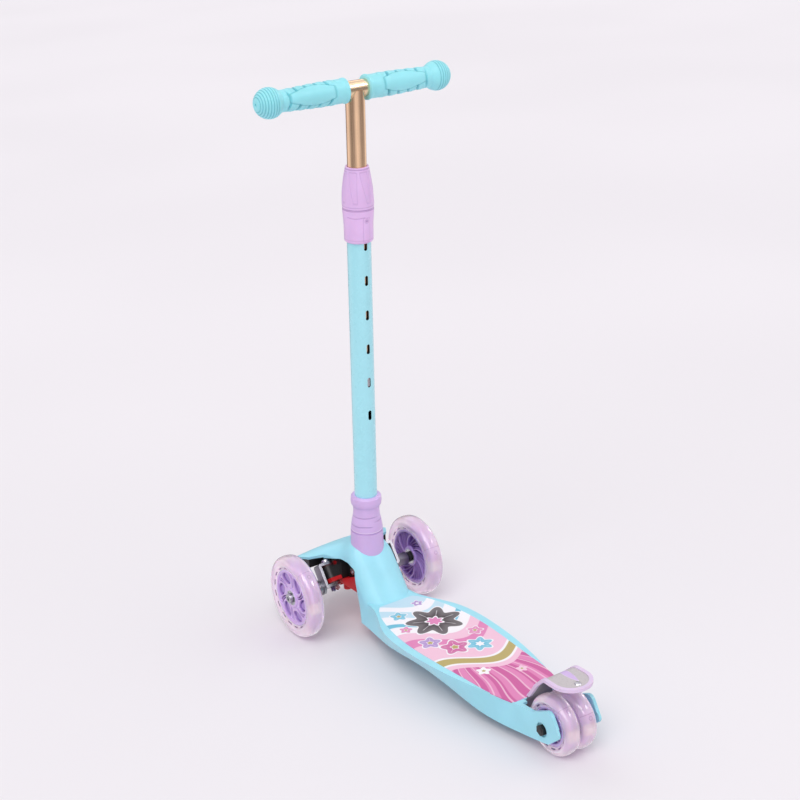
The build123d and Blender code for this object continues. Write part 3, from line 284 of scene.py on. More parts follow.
    def line(self, value: Value, centre: float, half: float, soft: float) -> Socket:
        """1 within a band about a centre and 0 outside it, with soft edges."""
        off = self.math("ABSOLUTE", self.math("SUBTRACT", value, centre))
        return self.step(off, half + soft, half)

    def mark(self) -> Socket:
        """The attribute slot, which holds painted shade for grooves, pockets, slots, inner walls and
        undersides, and is 0 on a piece without it.
        """
        return self.add("Attribute", attribute_name="slot").outputs["Fac"]

    def along(self, origin: Sequence[float], direction: Sequence[float]) -> Socket:
        """Distance of the place from an origin, measured along a direction.

        Args:
            origin: Place where the distance is 0.
            direction: Direction of length 1.

        Returns:
            The distance in metres.
        """
        node = self.add("VectorMath", operation="DOT_PRODUCT")
        self.feed(node.inputs[0], self.place())
        node.inputs[1].default_value = tuple(direction)
        start = float(np.dot(np.array(origin), np.array(direction)))
        return self.math("SUBTRACT", node.outputs["Value"], start)

    def bump(self, height: Socket, strength: float, depth: float, under: Optional[Socket] = None) -> Socket:
        """Surface relief from a height.

        Args:
            height: Height from 0 to 1.
            strength: Share of the relief that shows.
            depth: Depth of the relief in metres.
            under: Relief below this one.

        Returns:
            The normal.
        """
        node = self.add("Bump")
        node.inputs["Strength"].default_value = strength
        node.inputs["Distance"].default_value = depth
        self.feed(node.inputs["Height"], height)
        self.feed(node.inputs["Normal"], under)
        return node.outputs[0]

    def shader(self, normal: Optional[Socket] = None, **values: object) -> bpy.types.Material:
        """End the tree with one Principled shader.

        Args:
            normal: Normal of the surface.
            **values: Sockets by name, with underscores for spaces.

        Returns:
            The finished material.
        """
        node = self.add("BsdfPrincipled")
        for key, value in values.items():
            self.feed(node.inputs[key.replace("_", " ")], value)
        self.feed(node.inputs["Normal"], normal)
        out = self.add("OutputMaterial")
        self.tree.links.new(node.outputs[0], out.inputs[0])
        return self.owner


@dataclass(frozen=True)
class Moulded:
    """Injection-moulded plastic or rubber with a faint grain and uneven colour."""

    name: str
    colour: Colour
    roughness: float = 0.38
    grain: float = 0.12
    grain_scale: float = 900.0
    uneven: float = 0.05
    coat: float = 0.15
    scatter: float = 0.0
    # Colour of painted shade in grooves, gaps and hollows, where a piece is marked.
    groove: Optional[Colour] = None

    def build(self) -> bpy.types.Material:
        """Noise makes colour and gloss uneven, fine noise the grain, and marked parts take the groove colour
        as painted shade.
        """
        graph = Graph.of_material(self.name)
        cloud = graph.noise(24.0, 3.0)
        darker = tuple(part * (1.0 - 2.2 * self.uneven) for part in self.colour)
        lighter = tuple(min(1.0, part * (1.0 + self.uneven) + self.uneven * 0.1) for part in self.colour)
        colour = graph.blend(graph.step(cloud, 0.35, 0.65), darker, lighter)
        if self.groove:
            # Painted shade where the piece is marked.
            colour = graph.blend(graph.mark(), colour, self.groove)
        gloss = graph.gloss(60.0, 4.0, 0.14, self.roughness - 0.07)
        relief = graph.grain(self.grain_scale, self.grain)
        return graph.shader(
            relief, Base_Color=colour, Roughness=gloss, Coat_Weight=self.coat, Coat_Roughness=0.15,
            Subsurface_Weight=self.scatter, Subsurface_Scale=0.004,
        )


@dataclass(frozen=True)
class Brushed:
    """Brushed or satin metal with fine scratches along one direction."""

    name: str
    colour: Colour
    roughness: float = 0.3
    along: Triple = (900.0, 900.0, 12.0)
    turn: float = 0.0
    strength: float = 0.18
    metallic: float = 1.0

    def build(self) -> bpy.types.Material:
        """Noise drawn out along the brushing gives streaks of colour, gloss and relief."""
        graph = Graph.of_material(self.name)
        streaks = graph.noise(1.0, 3.0, graph.stretch(*self.along, turn=self.turn))
        cloud = graph.noise(30.0, 2.0)
        darker = tuple(part * 0.82 for part in self.colour)
        mixed = graph.math("ADD", graph.math("MULTIPLY", streaks, 0.7), graph.math("MULTIPLY", cloud, 0.3))
        colour = graph.blend(graph.step(mixed, 0.3, 0.62), darker, self.colour)
        gloss = graph.math("MULTIPLY_ADD", streaks, 0.22, self.roughness - 0.11)
        relief = graph.bump(streaks, self.strength, 0.00006)
        return graph.shader(relief, Base_Color=colour, Roughness=gloss, Metallic=self.metallic)


@dataclass(frozen=True)
class ClearCast:
    """Milky translucent cast polyurethane of one wheel, with a mould seam and an ejector mark."""

    name: str
    centre: Triple
    radius: float
    hub: float
    colour: Colour = tone(255, 237, 251)
    shade: Colour = tone(253, 228, 245)
    rim: Colour = tone(255, 246, 255)
    # Colour of the painted shade in the sunk slots, also used for the seam and the ejector mark.
    slot: Colour = tone(96, 72, 116)
    seam_turn: float = 1.9

    def build(self) -> bpy.types.Material:
        """Light passes a little way in, a clear coat gives the wet highlights, and a faint emission paints a
        glow.

        The distance from the axle gives the pale ring at the hub, and the turn
        about the axle gives the seam.
        """
        graph = Graph.of_material(self.name)
        _, y, z = graph.axes()
        forward = graph.math("SUBTRACT", y, self.centre[1])
        up = graph.math("SUBTRACT", z, self.centre[2])
        radius = graph.length(forward, up)
        turn = graph.math("ARCTAN2", up, forward)
        cloud = graph.noise(55.0, 3.0)
        colour = graph.blend(graph.step(cloud, 0.3, 0.7), self.shade, self.colour)
        colour = graph.blend(graph.step(radius, self.hub + 1.7 * MM, self.hub + 1.0 * MM), colour, self.rim)
        colour = graph.blend(graph.line(radius, self.hub + 6.4 * MM, 0.3 * MM, 0.8 * MM), colour, self.rim)
        off = graph.math("MULTIPLY", graph.math("SUBTRACT", turn, self.seam_turn), self.radius)
        seam = graph.math("MULTIPLY", graph.line(off, 0.0, 0.25 * MM, 0.25 * MM),
                          graph.step(radius, self.hub + 7.0 * MM, self.hub + 8.0 * MM))
        eye = graph.add("VectorMath", operation="DISTANCE")
        graph.feed(eye.inputs[0], graph.place())
        eye.inputs[1].default_value = (
            self.centre[0], self.centre[1] + self.radius * math.cos(self.seam_turn + 0.14),
            self.centre[2] + self.radius * math.sin(self.seam_turn + 0.14),
        )
        ejector = graph.line(eye.outputs["Value"], 2.4 * MM, 0.25 * MM, 0.3 * MM)
        dark = graph.math("MULTIPLY", graph.math("MAXIMUM", seam, ejector), 0.35)
        colour = graph.blend(dark, colour, self.slot)
        # Marked slots take painted shade.
        colour = graph.blend(graph.mark(), colour, self.slot)
        relief = graph.bump(graph.noise(90.0, 3.0), 0.25, 0.0012)
        return graph.shader(
            relief, Base_Color=colour, Roughness=0.1, Subsurface_Weight=0.2, Subsurface_Scale=0.012,
            Transmission_Weight=0.62, IOR=1.44, Coat_Weight=1.0, Coat_Roughness=0.04,
            # Painted glow: the tyre gives off a little light of its own colour.
            Emission_Color=colour, Emission_Strength=0.09,
        )


@dataclass(frozen=True)
class HubPlastic:
    """Hub moulding: one colour outside and a deeper one inside, with painted shade in its pockets where it is
    marked.
    """

    name: str
    centre: float
    outward: float
    # The pocket colours paint shade in the pockets.
    outer: Colour = tone(213, 181, 236)
    outer_pocket: Colour = tone(132, 92, 184)
    inner: Colour = tone(182, 148, 220)
    inner_pocket: Colour = tone(130, 94, 176)

    def build(self) -> bpy.types.Material:
        """The side of the wheel's middle plane picks the pair, and the mark picks the face colour or the
        pocket colour, which is painted shade.
        """
        graph = Graph.of_material(self.name)
        x, _, _ = graph.axes()
        out = graph.math("MULTIPLY", graph.math("SUBTRACT", x, self.centre), self.outward)
        side = graph.step(out, -0.0005, 0.0005)
        mark = graph.mark()
        face = graph.blend(side, self.inner, self.outer)
        # Painted shade in the pockets.
        pocket = graph.blend(side, self.inner_pocket, self.outer_pocket)
        gloss = graph.gloss(80.0, 3.0, 0.12, 0.24)
        relief = graph.grain(700.0, 0.08)
        return graph.shader(
            relief, Base_Color=graph.blend(mark, face, pocket), Roughness=gloss, Coat_Weight=0.3,
            Coat_Roughness=0.12,
            Subsurface_Weight=0.1, Subsurface_Scale=0.004,
        )


@dataclass(frozen=True)
class CreasedBoot:
    """Soft plastic boot with a painted highlight line at its groove, painted shade in the groove, and a few
    creases at its waist darkened with painted shade.
    """

    name: str
    origin: Triple
    up: Triple
    colour: Colour = tone(217, 186, 237)
    # The pale colour paints a highlight above the groove; the darker colour below paints shade in the groove
    # and the creases.
    pale: Colour = tone(232, 208, 244)
    deep: Colour = tone(176, 142, 204)
    groove: float = 76.0 * MM
    creases: tuple[float, ...] = (99.0 * MM, 93.0 * MM, 86.5 * MM)

    def build(self) -> bpy.types.Material:
        """Bands of painted highlight and painted shade at fixed heights up the boot, the creases broken off
        by slow noise.
        """
        graph = Graph.of_material(self.name)
        height = graph.along(self.origin, self.up)
        cloud = graph.step(graph.noise(26.0, 3.0), 0.35, 0.65)
        colour = graph.blend(cloud, tuple(part * 0.95 for part in self.colour), self.colour)
        # Painted highlight just above the groove, and painted shade in it.
        lit = graph.line(height, self.groove + 1.8 * MM, 0.2 * MM, 0.7 * MM)
        dark = graph.line(height, self.groove - 0.3 * MM, 0.7 * MM, 0.9 * MM)
        colour = graph.blend(lit, colour, self.pale)
        colour = graph.blend(graph.math("MULTIPLY", dark, 0.7), colour, self.deep)
        part = graph.step(graph.noise(24.0, 1.0), 0.46, 0.54)
        sway = graph.math("MULTIPLY_ADD", graph.noise(30.0, 1.0), 5.0 * MM, -2.5 * MM)
        bent = graph.math("ADD", height, sway)
        relief_height: Value = 0.0
        for index, level in enumerate(self.creases):
            kept = graph.math("SUBTRACT", 1.0, part) if index % 2 else part
            crease = graph.math("MULTIPLY", graph.line(bent, level, 0.2 * MM, 0.9 * MM), kept)
            # Painted shade in each crease.
            colour = graph.blend(graph.math("MULTIPLY", crease, 0.55), colour, self.deep)
            relief_height = graph.math("ADD", relief_height, crease)
        cut = graph.bump(graph.math("SUBTRACT", 1.0, relief_height), 0.8, 0.0008)
        relief = graph.grain(800.0, 0.1, under=cut)
        gloss = graph.gloss(60.0, 3.0, 0.14, 0.36)
        return graph.shader(
            relief, Base_Color=colour, Roughness=gloss, Coat_Weight=0.12, Coat_Roughness=0.2,
            Subsurface_Weight=0.06, Subsurface_Scale=0.004,
        )


@dataclass(frozen=True)
class FenderPlate:
    """Grey plate with a lilac lens up its middle, and painted shade on its underside where it is marked."""

    name: str
    lens_y: float
    lens_x: float = 5.0 * MM
    lens_half_length: float = 24.0 * MM
    lens_half_width: float = 5.0 * MM
    grey: Colour = tone(201, 194, 197)
    speck: Colour = tone(184, 177, 181)
    lilac: Colour = tone(214, 186, 236)
    edge: Colour = tone(232, 216, 244)
    # Colour of the painted shade on faces that look down.
    under: Colour = tone(120, 114, 126)

    def build(self) -> bpy.types.Material:
        """Grey speckled metal, with the lens printed on it.

        The lens is where the share of its half width and the squared share of
        its half length add up to less than 1.
        """
        graph = Graph.of_material(self.name)
        x, y, _ = graph.axes()
        aside = graph.math("ABSOLUTE", graph.math("SUBTRACT", x, self.lens_x))
        wide = graph.math("DIVIDE", aside, self.lens_half_width)
        shift = graph.math("ABSOLUTE", graph.math("SUBTRACT", y, self.lens_y))
        long_way = graph.math("POWER", graph.math("DIVIDE", shift, self.lens_half_length), 2.0)
        inside = graph.math("ADD", wide, long_way)
        speckle = graph.math("MULTIPLY", graph.step(graph.noise(420.0, 2.0), 0.45, 0.7), 0.5)
        colour = graph.blend(speckle, self.grey, self.speck)
        colour = graph.blend(graph.step(inside, 1.12, 1.0), colour, self.edge)
        colour = graph.blend(graph.step(inside, 0.98, 0.88), colour, self.lilac)
        # Faces that look down take painted shade.
        colour = graph.blend(graph.mark(), colour, self.under)
        cut = graph.bump(graph.step(inside, 1.15, 0.95), 0.7, 0.0006)
        relief = graph.grain(500.0, 0.15, under=cut)
        gloss = graph.gloss(90.0, 3.0, 0.16, 0.34)
        return graph.shader(
            relief, Base_Color=colour, Roughness=gloss, Metallic=0.12, Coat_Weight=0.15, Coat_Roughness=0.2,
        )


@dataclass(frozen=True)
class Blossom:
    """One printed flower: where it lies, how big it is and how it is coloured."""

    x: float
    ahead: float
    radius: float
    petals: int
    turn: float
    fill: Colour
    heart: Colour
    outline: float = 0.12


@dataclass(frozen=True)
class PrintedMat:
    """Rubber mat printed with flowing bands, a gold ribbon, pleats at the rear and loose flowers."""

    name: str
    back: float
    front: float
    sky: Colour = tone(196, 226, 242)
    white: Colour = tone(250, 246, 251)
    blush: Colour = tone(244, 196, 220)
    pink: Colour = tone(226, 128, 184)
    rose: Colour = tone(206, 84, 156)
    gold: Colour = tone(186, 166, 96)
    aqua: Colour = tone(104, 192, 220)
    plum: Colour = tone(48, 28, 38)
    lilac: Colour = tone(176, 140, 206)

    def flowers(self) -> tuple[Blossom, ...]:
        """The flowers, by offset from the middle line and distance behind the mat's front."""
        return (
            Blossom(9 * MM, 82 * MM, 40 * MM, 7, 0.3, self.plum, self.pink, 0.06),
            Blossom(-31 * MM, 128 * MM, 15 * MM, 5, 1.1, self.lilac, self.gold),
            Blossom(-12 * MM, 158 * MM, 19 * MM, 5, 0.2, self.rose, self.gold),
            Blossom(19 * MM, 172 * MM, 18 * MM, 6, 0.8, self.aqua, self.white),
            Blossom(36 * MM, 138 * MM, 11 * MM, 5, 2.1, self.pink, self.gold),
            Blossom(-22 * MM, 40 * MM, 12 * MM, 5, 0.6, self.aqua, self.gold),
            Blossom(-36 * MM, 78 * MM, 9 * MM, 5, 1.7, self.pink, self.gold),
            Blossom(20 * MM, 24 * MM, 8 * MM, 5, 0.1, self.lilac, self.white),
            Blossom(-20 * MM, 232 * MM, 10 * MM, 5, 1.3, self.white, self.gold, 0.0),
            Blossom(22 * MM, 258 * MM, 8 * MM, 5, 0.4, self.blush, self.gold, 0.0),
        )

    def build(self) -> bpy.types.Material:
        """Bands follow a wavy measure of length, pleats fan out from a point, and flowers lie on both."""
        graph = Graph.of_material(self.name)
        x, y, _ = graph.axes()
        run = graph.math("DIVIDE", graph.math("SUBTRACT", y, self.back), self.front - self.back)
        sway = graph.math("MULTIPLY", graph.math("SINE", graph.math("MULTIPLY_ADD", x, 46.0, 0.8)), 0.06)
        slow = graph.math("MULTIPLY", graph.math("SINE", graph.math("MULTIPLY_ADD", y, 21.0, 2.0)), 0.02)
        wave = graph.math("ADD", graph.math("ADD", run, sway), slow)
        colour = self.pleats(graph, x, y)
        bands = (
            (0.30, self.blush), (0.335, self.white), (0.35, self.gold), (0.405, self.white),
            (0.42, self.blush),
            (0.56, self.pink), (0.62, self.blush), (0.68, self.white), (0.74, self.aqua), (0.77, self.white),
            (0.84, self.sky), (0.90, self.white), (0.95, self.sky),
        )
        for edge, next_colour in bands:
            colour = graph.blend(graph.step(wave, edge - 0.003, edge + 0.003), colour, next_colour)
        for flower in self.flowers():
            colour = self.print_flower(graph, x, y, colour, flower)
        fade = graph.noise(16.0, 2.0)
        colour = graph.blend(graph.math("MULTIPLY", fade, 0.04), colour, self.white)
        relief = graph.grain(1400.0, 0.25)
        gloss = graph.gloss(90.0, 2.0, 0.1, 0.42)
        return graph.shader(relief, Base_Color=colour, Roughness=gloss, Coat_Weight=0.05, Coat_Roughness=0.25)

    def pleats(self, graph: Graph, x: Socket, y: Socket) -> Socket:
        """Pink stripes that fan out towards the rear from a point under the ribbon.

        Args:
            graph: Tree that the nodes go into.
            x: Offset from the middle line.
            y: Place along the scooter.

        Returns:
            The colour of the stripes.
        """
        back = graph.math("SUBTRACT", self.front - 120 * MM, y)
        fan = graph.math("ARCTAN2", x, back)
        bent = graph.math(
            "ADD", fan, graph.math("MULTIPLY", graph.math("SINE", graph.math("MULTIPLY", y, 60.0)), 0.02),
        )
        wide = graph.math("SINE", graph.math("MULTIPLY", bent, 44.0))
        thin = graph.math("SINE", graph.math("MULTIPLY_ADD", bent, 71.0, 1.0))
        colour = graph.blend(graph.step(wide, -0.25, 0.35), self.rose, self.pink)
        return graph.blend(graph.math("MULTIPLY", graph.step(thin, 0.82, 0.95), 0.8), colour, self.blush)

    def print_flower(self, graph: Graph, x: Socket, y: Socket, colour: Socket, flower: Blossom) -> Socket:
        """Print one flower over a colour.

        The petals' edge is a circle whose radius swells and shrinks once for
        each petal. A white outline lies outside it, and a heart and a ring of
        darker veins inside.

        Args:
            graph: Tree that the nodes go into.
            x: Offset from the middle line.
            y: Place along the scooter.
            colour: Colour below.
            flower: The flower.

        Returns:
            The colour with the flower.
        """
        aside = graph.math("SUBTRACT", x, flower.x)
        fore = graph.math("SUBTRACT", y, self.front - flower.ahead)
        reach = graph.length(aside, fore)
        turn = graph.math(
            "MULTIPLY_ADD", graph.math("ARCTAN2", fore, aside), float(flower.petals), flower.turn,
        )
        swell = graph.math("MULTIPLY_ADD", graph.math("COSINE", turn), 0.17, 0.83)
        share = graph.math("DIVIDE", graph.math("DIVIDE", reach, flower.radius), swell)
        soft = 0.0006 / flower.radius
        if flower.outline:
            edge = 1.0 + flower.outline
            colour = graph.blend(graph.step(share, edge + soft, edge), colour, self.white)
        lighter = tuple(part + (1.0 - part) * 0.1 for part in flower.fill)
        petal = graph.blend(graph.step(share, 0.35, 0.95), flower.fill, lighter)
        vein = graph.math(
            "MULTIPLY", graph.step(graph.math("COSINE", turn), 0.97, 1.0), graph.step(share, 0.8, 0.7),
        )
        petal = graph.blend(graph.math("MULTIPLY", vein, 0.5), petal, self.white)
        colour = graph.blend(graph.step(share, 1.0 + soft, 1.0 - soft), colour, petal)
        colour = graph.blend(graph.step(share, 0.36 + soft, 0.36 - soft), colour, self.white)
        return graph.blend(graph.step(share, 0.28 + soft, 0.28 - soft), colour, flower.heart)


class Finish(Protocol):
    """What every finish offers: its material's name and the material."""

    @property
    def name(self) -> str:
        """Name of the material."""

    def build(self) -> bpy.types.Material:
        """The new material."""


@dataclass
class Finishes:
    """All materials of the scooter, each made once."""

    made: dict[str, bpy.types.Material] = field(default_factory=dict)

    def get(self, finish: Finish) -> bpy.types.Material:
        """The material of a finish, built on first use."""
        if finish.name not in self.made:
            self.made[finish.name] = finish.build()
        return self.made[finish.name]


STEM_RAKE = math.radians(4.0)

DECK = Moulded("deck_aqua", tone(162, 228, 245), roughness=0.42, uneven=0.015, coat=0.1, scatter=0.08)
STEM = Moulded(
    "stem_aqua_paint", tone(170, 234, 246), roughness=0.28, grain=0.03, uneven=0.006, coat=0.4,
    # Near-black painted shade on the tube's inner wall, which darkens its slots.
    groove=tone(26, 28, 32),
)
GRIP = Moulded(
    "grip_aqua_rubber", tone(153, 232, 242), roughness=0.46, grain=0.16, uneven=0.02, coat=0.05, scatter=0.05,
    # Painted shade in the grips' notches, the panel's outline and the ball's rings.
    groove=tone(78, 176, 190),
)
LILAC = Moulded(
    "lilac_plastic", tone(233, 194, 243), roughness=0.38, uneven=0.02, coat=0.18, scatter=0.06,
    # Painted shade in the lock's sunk petals, rings, seams, dimple and arc, and at the split between its
    # halves.
    groove=tone(168, 128, 184),
)
TRIM = Moulded("trim_lilac_plastic", tone(230, 206, 238), roughness=0.36, uneven=0.02, coat=0.25, scatter=0.1)
BLACK = Moulded("black_plastic", tone(18, 18, 21), roughness=0.45, uneven=0.12, coat=0.05)
RED = Moulded("red_plastic", tone(206, 14, 24), roughness=0.5, uneven=0.05, coat=0.0)
RED_RUBBER = Moulded("red_rubber", tone(186, 16, 26), roughness=0.55, uneven=0.05, coat=0.0)
DARK_RUBBER = Moulded("dark_red_rubber", tone(70, 18, 24), roughness=0.6, uneven=0.05, coat=0.0)
CLEAR = Moulded("light_block", tone(236, 236, 226), roughness=0.2, uneven=0.02, coat=0.4)
GOLD = Brushed("gold_tube", tone(250, 210, 172), roughness=0.2, turn=STEM_RAKE, strength=0.1)
GOLD_BAR = Brushed("gold_bar", tone(255, 224, 186), roughness=0.22, along=(12.0, 900.0, 900.0), strength=0.1)
STEEL = Brushed(
    "plated_steel", tone(196, 196, 202), roughness=0.28, along=(300.0, 300.0, 300.0), strength=0.1,
)
CHROME = Brushed(
    "polished_bracket", tone(160, 160, 166), roughness=0.32, along=(60.0, 700.0, 700.0), strength=0.06,
)
MAGNET = Brushed("magnet_metal", tone(120, 120, 124), roughness=0.4, along=(300.0, 300.0, 300.0))

# ---------------------------------------------------------------------------
# Meshes
# ---------------------------------------------------------------------------


def grid_faces(rows: int, columns: int, close_rows: bool = False, close_columns: bool = True) -> np.ndarray:
    """Quads between neighbours on a grid of points.

    Args:
        rows: Number of rows of points.
        columns: Number of points in a row.
        close_rows: Whether the last row joins the first.
        close_columns: Whether each row's end joins its start.

    Returns:
        Corner numbers, four to a face.
    """
    i = np.arange(rows if close_rows else rows - 1)[:, None]
    j = np.arange(columns if close_columns else columns - 1)[None, :]
    below = i * columns
    above = ((i + 1) % rows) * columns
    after = (j + 1) % columns
    return np.stack([below + j, below + after, above + after, above + j], axis=-1).reshape(-1, 4)


def curve(points: Sequence[tuple[float, float]], count: int) -> np.ndarray:
    """Smooth curve through points: Catmull and Rom's cubic between each neighbouring pair.

    Args:
        points: Points in order.
        count: Number of places on the curve, ends included.

    Returns:
        Rows of places.
    """
    knots = np.array(points, float)
    padded = np.concatenate([[2 * knots[0] - knots[1]], knots, [2 * knots[-1] - knots[-2]]])
    share = np.linspace(0.0, len(knots) - 1.0, count)
    cell = np.minimum(share.astype(int), len(knots) - 2)
    t = (share - cell)[:, None]
    a, b, c, d = (padded[cell + step] for step in range(4))
    square = (2 * a - 5 * b + 4 * c - d) * t ** 2
    return 0.5 * (2 * b + (c - a) * t + square + (3 * b - a - 3 * c + d) * t ** 3)


def outward(points: Points, faces: np.ndarray) -> np.ndarray:
    """Faces of a closed mesh of quads, turned round if they enclose a negative volume.

    The volume is the sum, over the two triangles of each quad, of one corner's
    product with the cross product of the other two.

    Args:
        points: Places, one row each.
        faces: Corner numbers, four to a face.

    Returns:
        The faces, all looking outwards.
    """
    a, b, c, d = (points[faces[:, corner]] for corner in range(4))
    volume = np.einsum("ij,ij->i", a, np.cross(b, c)).sum() + np.einsum("ij,ij->i", a, np.cross(c, d)).sum()
    return faces if volume > 0 else faces[:, ::-1]


def read(items: bpy.types.bpy_prop_collection, name: str, kind: type = np.float32) -> np.ndarray:
    """One property of all vertices, triangles or faces of a mesh.

    Args:
        items: Vertices, triangles or faces.
        name: Property of three numbers.
        kind: Type of the numbers.

    Returns:
        Rows of three numbers.
    """
    values = np.empty(len(items) * 3, kind)
    items.foreach_get(name, values)
    return values.reshape(-1, 3)


@dataclass
class Frame3:
    """A place and three directions, to carry a shape into the scooter's frame."""

    origin: np.ndarray
    x: np.ndarray
    y: np.ndarray
    z: np.ndarray

    def carry(self, x: np.ndarray, y: np.ndarray, z: np.ndarray) -> Points:
        """Points from three arrays of local coordinates, one row each."""
        parts = np.broadcast_arrays(x, y, z)
        flat = [part.ravel()[:, None] for part in parts]
        return self.origin + flat[0] * self.x + flat[1] * self.y + flat[2] * self.z


@dataclass
class Builder:
    """Makes objects in the frame, dresses them and lets them ride on a body."""

    frame: dict
    finishes: Finishes = field(default_factory=Finishes)
    count: int = 0

    def piece(
        self, name: str, points: Points, faces: np.ndarray, finish: Finish, body: str, slot: str,
        replaces: Sequence[str] = (), sharp: float = 40.0, marks: Optional[np.ndarray] = None,
    ) -> bpy.types.Object:
        """Turn points and faces into a dressed piece.

        Args:
            name: Name of the piece.
            points: Places in metres, one row each.
            faces: Corner numbers, one row each.
            finish: Finish of the piece.
            body: Body that it rides on.
            slot: Material slot of the record; not used.
            replaces: Solids that it stands for.
            sharp: Edges that turn by more than this many degrees stay crisp.
            marks: Painted shade from 0 to 1 at each point, kept as the attribute slot.

        Returns:
            The new object.
        """
        mesh = bpy.data.meshes.new(name)
        mesh.from_pydata(points.tolist(), [], faces.tolist())
        mesh.validate()
        mesh.polygons.foreach_set("use_smooth", np.ones(len(mesh.polygons), bool))
        mesh.set_sharp_from_angle(angle=math.radians(sharp))
        if marks is not None:
            layer = mesh.attributes.new("slot", "FLOAT", "POINT")
            layer.data.foreach_set("value", marks.astype(np.float32).ravel())
        mesh.update()
        obj = bpy.data.objects.new(name, mesh)
        bpy.context.scene.collection.objects.link(obj)
        obj.data.materials.append(self.finishes.get(finish))
        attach(obj, body)
        if replaces:
            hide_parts(*replaces)
        self.count += 1
        LOG.info("%s: %d points on %s", name, len(points), body)
        return obj

    def turned(
        self, name: str, place: Frame3, section: np.ndarray, steps: int, relief: Relief, finish: Finish,
        node: str,
        sharp: float = 40.0,
    ) -> bpy.types.Object:
        """Turn a closed section about an axis, with relief, in place of a solid.

        Args:
            name: Name of the piece.
            place: Frame whose Z is the axis.
            section: Rows of radius and height, in order round the closed section.
            steps: Number of places round the axis.
            relief: From radius, height and angle to the moved radius and height and the mark.
            finish: Finish of the piece.
            node: Solid that it stands for.
            sharp: Edges that turn by more than this many degrees stay crisp.

        Returns:
            The new object.
        """
        angle = np.linspace(0.0, 2 * math.pi, steps, endpoint=False)[None, :].repeat(len(section), axis=0)
        radius = np.repeat(section[:, :1], steps, axis=1)
        height = np.repeat(section[:, 1:], steps, axis=1)
        radius, height, mark = relief(radius, height, angle)
        points = place.carry(radius * np.cos(angle), radius * np.sin(angle), height)
        faces = outward(points, grid_faces(len(section), steps, close_rows=True))
        return self.piece(
            name, points, faces, finish, self.frame["nodes"][node]["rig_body"], self.slot_of(node),
            replaces=(node,),
            sharp=sharp, marks=mark,
        )

    def slot_of(self, node: str) -> str:
        """Material slot of a solid in the record."""
        parts = self.frame["record"]["subparts"]
        return next(part["material_slot"] for part in parts if part["node"] == node)

    def dressed(
        self, node: str, finish: Finish, sharp: float = 32.0, name: str = "", shade: Optional[Shade] = None,
    ) -> bpy.types.Object:
        """A solid's own surface, merged and smooth, that stands for the solid.

        Args:
            node: Solid of the frame.
            finish: Finish of the surface.
            sharp: Edges that turn by more than this many degrees stay crisp.
            name: Name of the piece, or nothing for the node's name with a suffix.
            shade: From the centres and normals of the faces to a mark from 0 to 1 for each.

        Returns:
            The new object.
        """
        source = self.frame["nodes"][node]
        mesh = source.data
        mesh.calc_loop_triangles()
        places = read(mesh.vertices, "co").astype(float)
        keys = np.round(places * MERGES_PER_METRE).astype(np.int64)
        _, first, index = np.unique(keys, axis=0, return_index=True, return_inverse=True)
        faces = index.ravel()[read(mesh.loop_triangles, "vertices", np.int32)]
        whole = (faces[:, 0] != faces[:, 1]) & (faces[:, 1] != faces[:, 2]) & (faces[:, 2] != faces[:, 0])
        piece = self.piece(
            name or node + "_surface", places[first], faces[whole], finish, source["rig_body"],
            self.slot_of(node),
            replaces=(node,), sharp=sharp,
        )
        if shade:
            faces = piece.data.polygons
            centres, normals = (read(faces, key).astype(float) for key in ("center", "normal"))
            layer = piece.data.attributes.new("slot", "FLOAT", "FACE")
            layer.data.foreach_set("value", shade(centres, normals).astype(np.float32))
        even = piece.modifiers.new("even_normals", "WEIGHTED_NORMAL")
        even.keep_sharp = True
        return piece


def middle(node: str) -> np.ndarray:
    """Centre of a solid's box."""
    low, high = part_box(node)
    return np.array((low + high) / 2)


def extent(node: str) -> np.ndarray:
    """Lengths of a solid's box."""
    low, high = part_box(node)
    return np.array(high - low)


def smooth(value: np.ndarray, low: Union[float, np.ndarray], high: Union[float, np.ndarray]) -> np.ndarray:
    """Smooth rise from 0 at low to 1 at high: 3t squared less 2t cubed."""
    share = np.clip((value - low) / (high - low), 0.0, 1.0)
    return share * share * (3.0 - 2.0 * share)


def window(
    value: np.ndarray, rise: float, full: float, fall: float, end: float,
) -> np.ndarray:
    """1 from full to fall, with a smooth rise before it and a smooth fall after it.

    Args:
        value: Numbers to measure.
        rise: Where the rise starts.
        full: Where the rise ends.
        fall: Where the fall starts.
        end: Where the fall ends.

    Returns:
        The share of each number.
    """
    return smooth(value, rise, full) * (1 - smooth(value, fall, end))


def off_centre(cycle: np.ndarray, centre: Union[float, np.ndarray]) -> np.ndarray:
    """Distance on a circle of length 1 from a place to a centre."""
    return np.abs((cycle - centre + 0.5) % 1.0 - 0.5)


def band(cycle: np.ndarray, centre: Union[float, np.ndarray], half: float, soft: float) -> np.ndarray:
    """1 near a centre on a circle of length 1, and 0 away from it."""
    return 1 - smooth(off_centre(cycle, centre), half, half + soft)


AXLE = (np.array([0.0, 1.0, 0.0]), np.array([0.0, 0.0, 1.0]), np.array([1.0, 0.0, 0.0]))


# ---------------------------------------------------------------------------
# Wheels
# ---------------------------------------------------------------------------


